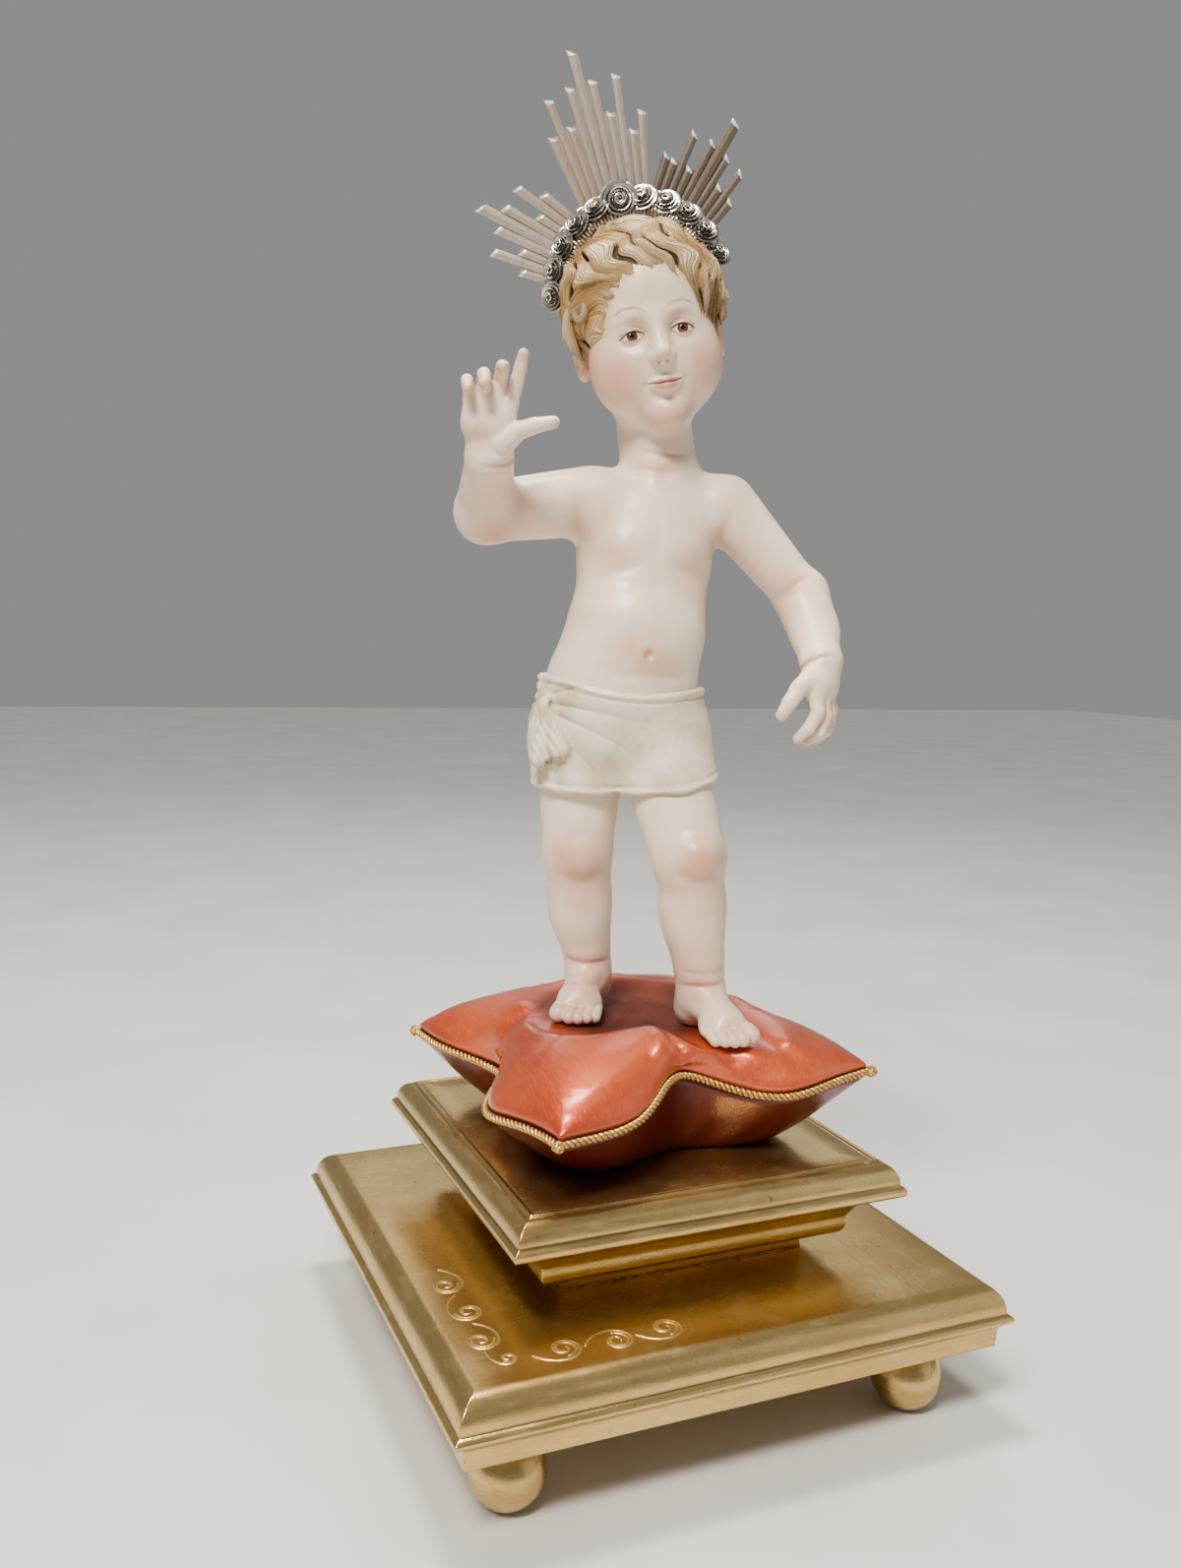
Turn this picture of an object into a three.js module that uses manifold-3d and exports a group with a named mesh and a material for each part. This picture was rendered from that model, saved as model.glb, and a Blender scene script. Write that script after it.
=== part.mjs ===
// A carved and painted child figure on a red cushion, wearing a silver ray diadem,
// on a stepped gilded plinth with ball feet. Millimetres, +Z up. The origin is on
// the supporting surface, under the middle of the plinth; -Y is the plinth's front.
import * as THREE from "three";
import { mergeVertices } from "three/addons/utils/BufferGeometryUtils.js";
import Module from "manifold-3d";

const wasm = await Module();
wasm.setup();

// ---------------------------------------------------------------- sizes
const PLINTH = 300; // lower plinth, edge to edge over its lip
const FOOT_R = 18.5, FOOT_FLAT = 5, FOOT_AT = 112, FOOT_NECK_R = 9;
const LOW_BOTTOM = 43, LOW_LIP = 59, LOW_TOP = 75.5;
const NECK_HALF = 70, NECK_TOP = 88;
const UP_TOP = 131;
const CUSHION_HALF = 92, CUSHION_BOTTOM = UP_TOP;
const SEAM_PINCH = 27, SEAM_LIFT = 10, SEAM_SAG = 4;
const SEAM_Z = [164, 175, 170, 167]; // front-left, front-right, back-right, back-left corner
const CUSHION_TURN = THREE.MathUtils.degToRad(4.9);
const RIM_Z = 204;
const CORD_R = 1.9, CORD_GAP = 0.35;
const FIGURE_TURN = THREE.MathUtils.degToRad(-15.6);
const GAP = 0.35;
// The hollow under the feet is a gentle slope, falling towards the figure's left foot.
const SOLE = { z: 193.6, dx: -0.03, dy: 0.035 };
const soleZ = (x, y) => SOLE.z + SOLE.dx * x + SOLE.dy * y; // in the figure's frame

// ---------------------------------------------------------------- helpers
const V = (x, y, z) => new THREE.Vector3(x, y, z);

function geometryOf(points, faces) {
  const g = new THREE.BufferGeometry();
  g.setAttribute("position", new THREE.BufferAttribute(new Float32Array(points), 3));
  g.setIndex(faces);
  return g;
}

function toSolid(geometry) {
  const g = (geometry.index ? geometry : mergeVertices(geometry)).clone();
  g.deleteAttribute("normal");
  g.deleteAttribute("uv");
  const m = mergeVertices(g, 1e-4);
  return new wasm.Manifold(
    new wasm.Mesh({
      numProp: 3,
      vertProperties: new Float32Array(m.attributes.position.array),
      triVerts: new Uint32Array(m.index.array),
    }),
  );
}

function toGeometry(solid) {
  const m = solid.getMesh(), n = m.numProp;
  const v = new Float32Array(m.numVert * 3);
  for (let i = 0; i < m.numVert; i++) v.set(m.vertProperties.subarray(i * n, i * n + 3), i * 3);
  const g = new THREE.BufferGeometry();
  g.setAttribute("position", new THREE.BufferAttribute(v, 3));
  g.setIndex(new THREE.BufferAttribute(new Uint32Array(m.triVerts), 1));
  return g;
}

// A square moulding with mitred corners: rings of [half width, height], from the bottom up.
function mitredBlock(rings) {
  const pts = [], faces = [];
  for (const [h, z] of rings) pts.push(-h, -h, z, h, -h, z, h, h, z, -h, h, z);
  for (let r = 0; r + 1 < rings.length; r++)
    for (let i = 0; i < 4; i++) {
      const a = 4 * r + i, b = 4 * r + ((i + 1) % 4), c = b + 4, d = a + 4;
      faces.push(a, b, c, a, c, d);
    }
  const t = 4 * (rings.length - 1);
  faces.push(0, 2, 1, 0, 3, 2, t, t + 1, t + 2, t, t + 2, t + 3);
  return geometryOf(pts, faces);
}

// ---------------------------------------------------------------- plinths
function quarter(h0, z0, h1, z1, steps, from = 0) {
  // convex quarter round from (h0, z0) low and wide to (h1, z1) high and narrow
  const out = [];
  for (let i = 0; i <= steps; i++) {
    const a = (i / steps) * (Math.PI / 2);
    out.push([h1 + (h0 - h1) * Math.cos(a), z0 + (z1 - z0) * Math.sin(a)]);
  }
  return out;
}
const P2 = PLINTH / 2;
const lowerRings = [
  [P2 - 6.5, LOW_BOTTOM], [P2 - 5.8, LOW_LIP - 6], [P2 - 3.2, LOW_LIP - 3.4],
  [P2 - 0.6, LOW_LIP - 1.9], [P2, LOW_LIP], [P2 - 1.2, LOW_LIP + 1.5],
  ...quarter(P2 - 3, LOW_LIP + 2.6, P2 - 14.5, LOW_TOP, 5),
];
const neckRings = [[NECK_HALF, LOW_TOP], [NECK_HALF, NECK_TOP]];
const upperRings = [
  [84.6, NECK_TOP], [86.4, 90.2], [87.4, 93], [87, 97.4], [87.6, 98.6], [91, 104.5], [97.6, 110],
  [106.6, 113], [109.4, 114], [109.4, 117.6], [108, 118.8], ...quarter(106.8, 119.6, 98.6, UP_TOP - 1, 4),
  [97.6, UP_TOP + 0.6], [96.6, UP_TOP + 0.6], [95.6, UP_TOP - 0.6], [94.4, UP_TOP],
];

function ballFoot() {
  const pts = [new THREE.Vector2(0, 0)];
  const a0 = -Math.PI / 2 + Math.asin(FOOT_FLAT / FOOT_R);
  const a1 = Math.acos(FOOT_NECK_R / FOOT_R);
  const zc = FOOT_R * Math.cos(Math.asin(FOOT_FLAT / FOOT_R));
  for (let i = 0; i <= 6; i++) {
    const a = a0 + ((a1 - a0) * i) / 6;
    pts.push(new THREE.Vector2(FOOT_R * Math.cos(a), zc + FOOT_R * Math.sin(a)));
  }
  pts.push(new THREE.Vector2(FOOT_NECK_R, LOW_BOTTOM), new THREE.Vector2(0, LOW_BOTTOM));
  const g = new THREE.LatheGeometry(pts, 13);
  g.rotateX(Math.PI / 2);
  return g;
}

// ---------------------------------------------------------------- cushion
// Seam of the cushion at t (0..4, one unit a side, starting at the front-left corner): each side
// is drawn in and up at its middle, and sags beside it.
const bell = (x, at, wide) => Math.exp(-(((x - at) / wide) ** 2));
// Per side (front, right, back, left): where the pinch, the lift and the sag lie, in -1..1 along it.
const SEAM_SIDES = [
  { pinch: -0.05, lift: -0.16, sag: 0.4, swell: 0.5, by: 1 },
  { pinch: 0.06, lift: 0.1, sag: -0.42, swell: -0.5, by: 2 },
  { pinch: -0.08, lift: -0.1, sag: 0.45, swell: 0.5, by: 2 },
  { pinch: -0.22, lift: -0.24, sag: 0.3, swell: 0.4, by: 7 },
];
function seamPoint(t) {
  t = ((t % 4) + 4) % 4;
  const side = Math.floor(t), s = (t - side) * 2 - 1, w = SEAM_SIDES[side]; // s: -1..1 along the side
  const ends = (f) => f(s) - f(-1) * (1 - s) / 2 - f(1) * (1 + s) / 2; // nothing left over at the corners
  const pinch = ends((x) => bell(x, w.pinch, 0.36)), lift = ends((x) => bell(x, w.lift, 0.26));
  const out = CUSHION_HALF - SEAM_PINCH * pinch + w.by * ends((x) => bell(x, w.swell, 0.34)) + 2 * Math.sin(Math.PI * s) ** 2;
  const along = s * CUSHION_HALF;
  const corner = [[along, -out], [out, along], [-along, out], [-out, -along]][side];
  const z0 = SEAM_Z[side], z1 = SEAM_Z[(side + 1) % 4], e = (s + 1) / 2;
  const z = z0 + (z1 - z0) * e + SEAM_LIFT * lift - SEAM_SAG * ends((x) => bell(x, w.sag, 0.26));
  return V(corner[0] - 1, corner[1], z);
}
// Each foot: ankle in plan, direction heel to toe, in the figure's frame.
const FEET = { R: { at: [-25.5, 9], dir: [-15, -39] }, L: { at: [31.5, -24.5], dir: [17, -43] } };
const turnFeet = CUSHION_TURN - FIGURE_TURN;
const inFigure = (x, y) => [
  x * Math.cos(turnFeet) - y * Math.sin(turnFeet), x * Math.sin(turnFeet) + y * Math.cos(turnFeet),
];
const hollowAt = (x, y) => soleZ(...inFigure(x, y)) - GAP; // the sole plane in the cushion's own frame
// The cushion is pressed down where a foot stands, and rises again away from it.
function pressed(x, y) {
  const [u, w] = inFigure(x, y);
  let far = 1e9;
  for (const { at, dir } of Object.values(FEET)) {
    const l = Math.hypot(...dir), fx = dir[0] / l, fy = dir[1] / l;
    const f = (u - at[0]) * fx + (w - at[1]) * fy, r = (u - at[0]) * fy - (w - at[1]) * fx;
    far = Math.min(far, Math.hypot(Math.max(0, -8 - f, f - 34), r) - 13);
  }
  return hollowAt(x, y) - 0.3 + 0.6 * Math.max(0, far - 7);
}
// Height of the top over the plan point, from the share q of the way from the middle to the seam.
function cushionTop(q, t, seam) {
  const side = Math.floor(t), s = (t - side) * 2 - 1;
  const HOLLOW_Z = hollowAt(seam.x * q, seam.y * q);
  const corner = Math.pow(Math.abs(s), 2.2); // 1 at corners, 0 at mid-sides
  const rim = RIM_Z - 5 * corner * q;
  const edge = Math.pow(Math.max(0, 1 - Math.pow(q, 3.4 - 0.6 * corner)), 0.6);
  const centre = HOLLOW_Z + (rim - HOLLOW_Z) * THREE.MathUtils.smoothstep(q, 0.36, 0.62);
  return Math.min(seam.z + 2.4 + (centre - seam.z - 2.4) * edge, pressed(seam.x * q, seam.y * q));
}
function cushionUnder(q, seam) {
  // q from 1 at the seam to 0 at the foot of the underside
  return CUSHION_BOTTOM + (seam.z - 2.4 - CUSHION_BOTTOM) * Math.pow(q, 1.2);
}
const CUSHION_STEPS = 40, TOP_RINGS = [0.22, 0.42, 0.56, 0.68, 0.8, 0.9, 0.965], UNDER_RINGS = [0.8, 0.55, 0.25, 0];
function cushionGeometry() {
  const pts = [], faces = [], n = CUSHION_STEPS, rings = [];
  const ring = (f) => {
    const r = [];
    for (let i = 0; i < n; i++) {
      const t = (4 * i) / n, p = f(t, seamPoint(t));
      r.push(pts.length / 3);
      pts.push(p.x, p.y, p.z);
    }
    rings.push(r);
  };
  pts.push(0, 0, hollowAt(0, 0));
  for (const q of TOP_RINGS) ring((t, s) => V(s.x * q, s.y * q, cushionTop(q, t, s)));
  const inset = (s, d, dz) => {
    const l = Math.hypot(s.x, s.y);
    return V(s.x * (1 - d / l), s.y * (1 - d / l), s.z + dz);
  };
  const g = CORD_R + CORD_GAP;
  ring((t, s) => inset(s, 0.9, g + 0.9));
  ring((t, s) => inset(s, g + 2, 0));
  ring((t, s) => inset(s, 0.9, -g - 0.9));
  for (const q of UNDER_RINGS)
    ring((t, s) => {
      const k = 0.65 + 0.34 * Math.pow(q, 0.85);
      return V(s.x * k, s.y * k, cushionUnder(q * 0.94, s));
    });
  const last = pts.length / 3;
  pts.push(0, 0, CUSHION_BOTTOM);
  for (let i = 0; i < n; i++) {
    const j = (i + 1) % n;
    faces.push(0, rings[0][i], rings[0][j]);
    for (let r = 0; r + 1 < rings.length; r++) {
      const a = rings[r], b = rings[r + 1];
      faces.push(a[i], b[i], b[j], a[i], b[j], a[j]);
    }
    const e = rings[rings.length - 1];
    faces.push(e[i], last, e[j]);
  }
  return geometryOf(pts, faces);
}
function cordGeometry() {
  const steps = CUSHION_STEPS, sides = 7, pts = [], faces = [], path = [];
  for (let i = 0; i < steps; i++) path.push(seamPoint((4 * i) / steps));
  for (let i = 0; i < steps; i++) {
    const t = path[(i + 1) % steps].clone().sub(path[(i + steps - 1) % steps]).normalize();
    const out = V(path[i].x, path[i].y, 0);
    out.addScaledVector(t, -out.dot(t)).normalize();
    const up = t.clone().cross(out).normalize();
    for (let k = 0; k < sides; k++) {
      const a = (2 * Math.PI * k) / sides;
      const p = path[i].clone().addScaledVector(out, CORD_R * Math.cos(a) + 0.8).addScaledVector(up, CORD_R * Math.sin(a));
      pts.push(p.x, p.y, p.z);
    }
  }
  for (let i = 0; i < steps; i++)
    for (let k = 0; k < sides; k++) {
      const a = i * sides + k, b = i * sides + ((k + 1) % sides);
      const c = ((i + 1) % steps) * sides + ((k + 1) % sides), d = ((i + 1) % steps) * sides + k;
      faces.push(a, b, c, a, c, d);
    }
  return geometryOf(pts, faces);
}

// ---------------------------------------------------------------- the figure as blended volumes
const smin = (a, b, k) => {
  const h = Math.max(k - Math.abs(a - b), 0) / k;
  return Math.min(a, b) - (h * h * k) / 4;
};
const smax = (a, b, k) => -smin(-a, -b, k);
// Distance to a round cone between two spheres.
function cone(a, b, ra, rb) {
  const bx = b[0] - a[0], by = b[1] - a[1], bz = b[2] - a[2];
  const l2 = bx * bx + by * by + bz * bz, rr = ra - rb, a2 = l2 - rr * rr, il2 = 1 / l2;
  return (x, y, z) => {
    const px = x - a[0], py = y - a[1], pz = z - a[2];
    const yy = px * bx + py * by + pz * bz, z1 = yy - l2;
    const wx = px * l2 - bx * yy, wy = py * l2 - by * yy, wz = pz * l2 - bz * yy;
    const x2 = wx * wx + wy * wy + wz * wz, y2 = yy * yy * l2, z2 = z1 * z1 * l2;
    const k = Math.sign(rr) * rr * rr * x2;
    if (Math.sign(z1) * a2 * z2 > k) return Math.sqrt(x2 + z2) * il2 - rb;
    if (Math.sign(yy) * a2 * y2 < k) return Math.sqrt(x2 + y2) * il2 - ra;
    return (Math.sqrt(x2 * a2 * il2) + yy * rr) * il2 - ra;
  };
}
function ellipsoid(c, r, turn) {
  const inv = turn ? turn.clone().transpose() : null, p = V(0, 0, 0);
  return (x, y, z) => {
    p.set(x - c[0], y - c[1], z - c[2]);
    if (inv) p.applyMatrix3(inv);
    const ax = p.x / r[0], ay = p.y / r[1], az = p.z / r[2];
    const k0 = Math.hypot(ax, ay, az), k1 = Math.hypot(ax / r[0], ay / r[1], az / r[2]);
    return k1 < 1e-9 ? -Math.min(r[0], r[1], r[2]) : (k0 * (k0 - 1)) / k1;
  };
}

// Joints of the figure in its own turned frame: +x its left, -y the way it faces.
const J = {
  chest: [0, 3, 444], belly: [-6, -3, 396], pelvis: [-13, 3, 356],
  neck: [6, 6, 484], skull: [0, 6, 522],
  shoulderR: [-33, 1, 472], elbowR: [-88, -2, 464], wristR: [-89, -39, 487],
  shoulderL: [40, 2, 473], elbowL: [78, -6, 427], wristL: [87, -36, 391],
  hipR: [-33.5, 4, 344], kneeR: [-33, 0, 283], ankleR: [...FEET.R.at, 216],
  hipL: [8.5, -3, 344], kneeL: [22, -30, 286], ankleL: [...FEET.L.at, 214],
};
const HEAD_AT = [-6, -1, 566];
const HEAD_TILT = { roll: -12, pitch: 7, yaw: -4 }; // degrees: leans to its right, looks down, turns
const headTurn = new THREE.Matrix3().setFromMatrix4(
  new THREE.Matrix4().makeRotationFromEuler(
    new THREE.Euler(
      THREE.MathUtils.degToRad(HEAD_TILT.pitch), THREE.MathUtils.degToRad(HEAD_TILT.roll),
      THREE.MathUtils.degToRad(HEAD_TILT.yaw), "ZYX"),
  ),
);
const inHead = (x, y, z) => {
  const p = V(x, y, z).applyMatrix3(headTurn);
  return [p.x + HEAD_AT[0], p.y + HEAD_AT[1], p.z + HEAD_AT[2]];
};

// [shape, blend radius]
const body = [
  [ellipsoid(J.chest, [39.5, 28, 43]), 1],
  [cone([-22, 3, 470], [31, 3, 471], 15, 15), 14],
  [cone(J.neck, [-14, 6, 478], 13, 10), 8],
  [cone(J.neck, [27, 6, 479], 13, 10), 8],
  [ellipsoid(J.belly, [40.5, 33, 42]), 12],
  [ellipsoid(J.pelvis, [42.5, 30, 30]), 18],
  [ellipsoid([-31, 19, 345], [22, 20, 23]), 8],
  [ellipsoid([9, 17, 347], [22, 20, 23]), 8],
  [cone(J.hipR, J.kneeR, 25, 18.5), 8],
  [cone(J.hipL, J.kneeL, 25, 19), 8],
  [cone(J.kneeR, J.ankleR, 18, 12.6), 5],
  [cone(J.kneeL, J.ankleL, 18.5, 13), 5],
  [ellipsoid([-31, 7, 255], [16.5, 17, 25]), 7],
  [ellipsoid([26, -22, 256], [16.5, 17, 25]), 7],
  [ellipsoid([-33, -12, 283], [10, 8, 10]), 6],
  [ellipsoid([23, -43, 288], [10.5, 8, 10.5]), 6],
  [cone(J.neck, J.skull, 21, 19.5), 8],
  [cone(J.shoulderR, J.elbowR, 18.5, 15.6), 9],
  [cone(J.elbowR, J.wristR, 16.4, 11.6), 5],
  [cone(J.shoulderL, J.elbowL, 18, 15), 9],
  [cone(J.elbowL, J.wristL, 15.8, 10.4), 5],
];
function footShapes(ankle, dir, side, sole) {
  // dir: plan direction heel to toe; side: +1 if the big toe lies towards +x
  const l = Math.hypot(...dir), fx = dir[0] / l, fy = dir[1] / l, rx = -fy * -side, ry = fx * -side;
  const at = (f, r, z) => [ankle[0] + fx * f + rx * r, ankle[1] + fy * f + ry * r, sole + z];
  const out = [
    [ellipsoid(at(-5, 0, 10.5), [11.5, 11.5, 11]), 5],
    [cone(at(0, 0, 18), at(24, 0, 9.5), 12, 8.5), 5],
    [cone(at(24, 4, 8.3), at(33, 4.5, 6.8), 8, 6.4), 4],
    [cone(at(22, -6, 7.2), at(31, -6.5, 5.8), 7, 5.2), 4],
  ];
  const toes = [[37, 7.2, 5.4, 5.2], [39.5, 0.6, 4.5, 4], [38.5, -3.9, 4, 3.6], [36, -8, 3.8, 3.4], [32.5, -11.8, 3.6, 3.3]];
  for (const [f, r, z, rad] of toes) out.push([cone(at(f - 7, r * 0.92, z + 1), at(f, r, z), rad, rad * 0.95), 1.6]);
  return out;
}
const DIR_R = FEET.R.dir, DIR_L = FEET.L.dir;
const soleUnder = (a, d) => soleZ(a[0] + d[0] * 0.4, a[1] + d[1] * 0.4);
body.push(
  ...footShapes(J.ankleR, DIR_R, 1, soleUnder(J.ankleR, DIR_R)),
  ...footShapes(J.ankleL, DIR_L, -1, soleUnder(J.ankleL, DIR_L)),
);

const head = [
  [ellipsoid(inHead(0, 6, 10), [38, 43, 37], headTurn), 1],
  [ellipsoid(inHead(0, -8, -18), [33.5, 31, 38], headTurn), 8],
  [ellipsoid(inHead(-17, -16, -27), [17.5, 17, 18]), 9],
  [ellipsoid(inHead(17, -16, -27), [17.5, 17, 18]), 9],
  [ellipsoid(inHead(0, -25, -45), [12, 11, 11]), 7],
  [cone(inHead(0, -37, -9), inHead(0, -42.5, -19), 3, 5), 5],
  [ellipsoid(inHead(-36, 4, -12), [5, 8, 11], headTurn), 3],
  [ellipsoid(inHead(36, 4, -12), [5, 8, 11], headTurn), 3],
];
// Hair: a cap over the skull, open over the face, with rows of locks standing out of it.
const hairCap = ellipsoid(inHead(0, 8, 9), [42.5, 46, 41], headTurn);
const faceGap = ellipsoid(inHead(0, -44, -16), [33, 30, 42], headTurn);
const napeGap = ellipsoid(inHead(0, 6, -62), [60, 60, 40], headTurn);
const locks = [];
for (let row = 0; row < 3; row++)
  for (let i = 0; i < 9 + 2 * row; i++) {
    const n = 9 + 2 * row, a = Math.PI * (0.5 + (2 * (i + 0.5 * row)) / n), e = 0.95 - 0.42 * row;
    const c = Math.cos(e), p = [43 * c * Math.cos(a), 8 - 45.5 * c * Math.sin(a), 9 + 40.5 * Math.sin(e)];
    if (p[1] < -26 && p[2] < 24) continue;
    const q = [p[0] * 1.03 + 4 * Math.sin(a + 1), p[1] * 1.03, p[2] - 11];
    locks.push([cone(inHead(...p), inHead(...q), 4.4, 3), 2.5]);
  }

// Hand: palm and fingers from their knuckles, each finger a chain of three short cones.
function handShapes(palm, fingers, thumb) {
  const out = palm.map((p) => [cone(...p), 4]);
  for (const f of [...fingers, thumb])
    for (let i = 0; i + 1 < f.pts.length; i++)
      out.push([cone(f.pts[i], f.pts[i + 1], f.r[i], f.r[i + 1]), i ? 0.8 : 1.6]);
  return out;
}
// right hand, raised, palm forward
const HR = { base: [-90, -47, 500] };
const hr = (x, y, z) => [HR.base[0] + x, HR.base[1] + y, HR.base[2] + z];
const handR = handShapes(
  [
    [J.wristR, hr(-5, 2, 4), 11.2, 7.2], [J.wristR, hr(6, 2, 2), 11.2, 7.6],
    [hr(-7, 0, 2), hr(-8, -1.5, 12), 6.6, 4.8], [hr(6, 0, 2), hr(9.5, -1.5, 12), 6.6, 4.8], [hr(0, 0, 2), hr(1, -1.5, 13), 6.4, 4.8],
  ],
  [
    { pts: [hr(10.5, -1.5, 13), hr(13, -3.5, 22), hr(14.5, -6.5, 29), hr(15.5, -9, 34.5)], r: [3.8, 3.4, 3.1, 2.7] },
    { pts: [hr(4, -1.5, 14), hr(5, -4.5, 23), hr(5.4, -11, 27.5), hr(5.4, -16, 27)], r: [3.8, 3.4, 3.2, 2.7] },
    { pts: [hr(-2.4, -1.5, 14), hr(-3, -5, 22), hr(-3.4, -12, 23.5), hr(-3.2, -16, 19)], r: [3.8, 3.4, 3.2, 2.7] },
    { pts: [hr(-8.8, -1, 12.5), hr(-10.6, -4.5, 19.5), hr(-11.4, -10.5, 20.5), hr(-11.2, -14, 16.5)], r: [3.5, 3.1, 2.9, 2.5] },
  ],
  { pts: [hr(6, -1, -7), hr(14, -4.5, -1), hr(21.5, -6.5, 1.5), hr(31, -8, 3.5)], r: [6.4, 4.6, 3.9, 3] },
);
// left hand, lowered, fingers curling in
const HL = { base: [85, -43, 378] };
const hl = (x, y, z) => [HL.base[0] + x, HL.base[1] + y, HL.base[2] + z];
const handL = handShapes(
  [
    [J.wristL, hl(-3, -1, 1), 10.2, 6.6], [J.wristL, hl(4, 4, 1), 10.2, 6.4],
    [hl(-3, -1, 2), hl(-3, -3, -4), 6.2, 4.9], [hl(4, 4, 2), hl(5, 5, -4), 6, 4.6], [hl(1, 1, 1), hl(1.5, 1, -5), 6, 4.8],
  ],
  [
    { pts: [hl(-3.4, -3.6, -4), hl(-3, -7, -13), hl(-7.5, -7.5, -21), hl(-12.5, -5, -27)], r: [4.1, 3.7, 3.3, 2.7] },
    { pts: [hl(0.8, -0.6, -6), hl(2.4, -3.4, -15), hl(-0.6, -3.8, -23.5), hl(-6.5, -1.5, -28.5)], r: [4, 3.6, 3.2, 2.7] },
    { pts: [hl(4, 3, -5.5), hl(6, 1.6, -14.5), hl(4.6, 1.2, -22.5), hl(-0.6, 3, -28)], r: [3.9, 3.5, 3.1, 2.6] },
    { pts: [hl(6.4, 6.8, -4), hl(8.6, 6.2, -11.5), hl(8, 6, -18.5), hl(4, 7.2, -24)], r: [3.6, 3.2, 2.9, 2.5] },
  ],
  { pts: [hl(-6, -2, 4), hl(-13, -5, -1), hl(-18, -6.5, -8), hl(-22.5, -7.5, -15)], r: [6, 4.6, 4, 3.1] },
);

// Loincloth, carved in one with the hips: a wrap over pelvis and upper thighs, with a knot at the right hip.
const wrapCore = [
  [ellipsoid([-13, 3, 354], [42.5, 31, 31]), 1],
  [cone([-33.5, 3, 344], [-33, 1, 316], 25, 23.6), 12],
  [cone([8.5, -3, 344], [12.5, -11, 316], 25, 24), 12],
  [ellipsoid([-12, 17, 346], [37, 22, 25]), 8],
];
const knot = [
  [ellipsoid([-53, -14, 364], [7.5, 6.5, 7]), 2],
  [cone([-55, -15, 358], [-57.5, -16, 334], 4, 6.6), 3],
  [cone([-51, -18, 358], [-48, -22.5, 340], 4, 6), 3],
];
const fold = (shapes, k0 = null) => (x, y, z) => {
  let d = 1e9;
  for (const [f, k] of shapes) d = smin(d, f(x, y, z), k0 ?? k);
  return d;
};
const bodyD = fold(body), headD = fold(head), lockD = fold(locks), wrapD = fold(wrapCore), knotD = fold(knot);
const CLOTH = 2.6;
function clothD(x, y, z) {
  const w = wrapD(x, y, z) - CLOTH;
  const across = (x + 13) / 48; // -1 at its right hip, where the cloth is tied, 1 at its left
  const top = z - (378 - 3 * across - 6 * Math.max(0, -y / 34) * (1 - across * across));
  const low = 318 + 5 * across * across + 3 * across - z;
  return smin(smax(smax(w, top, 2), low, 2), knotD(x, y, z), 3);
}
function figureD(x, y, z) {
  let d = bodyD(x, y, z);
  if (z > 480) {
    d = smin(d, headD(x, y, z), 6);
    let h = smax(hairCap(x, y, z), -faceGap(x, y, z), 4);
    h = smin(h, lockD(x, y, z), 2.5);
    d = smin(d, smax(h, -napeGap(x, y, z), 4), 1.5);
  } else if (z > 300 && z < 400) d = smin(d, clothD(x, y, z), 1);
  return z < 210 ? Math.max(d, soleZ(x, y) - z) : d;
}

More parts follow.
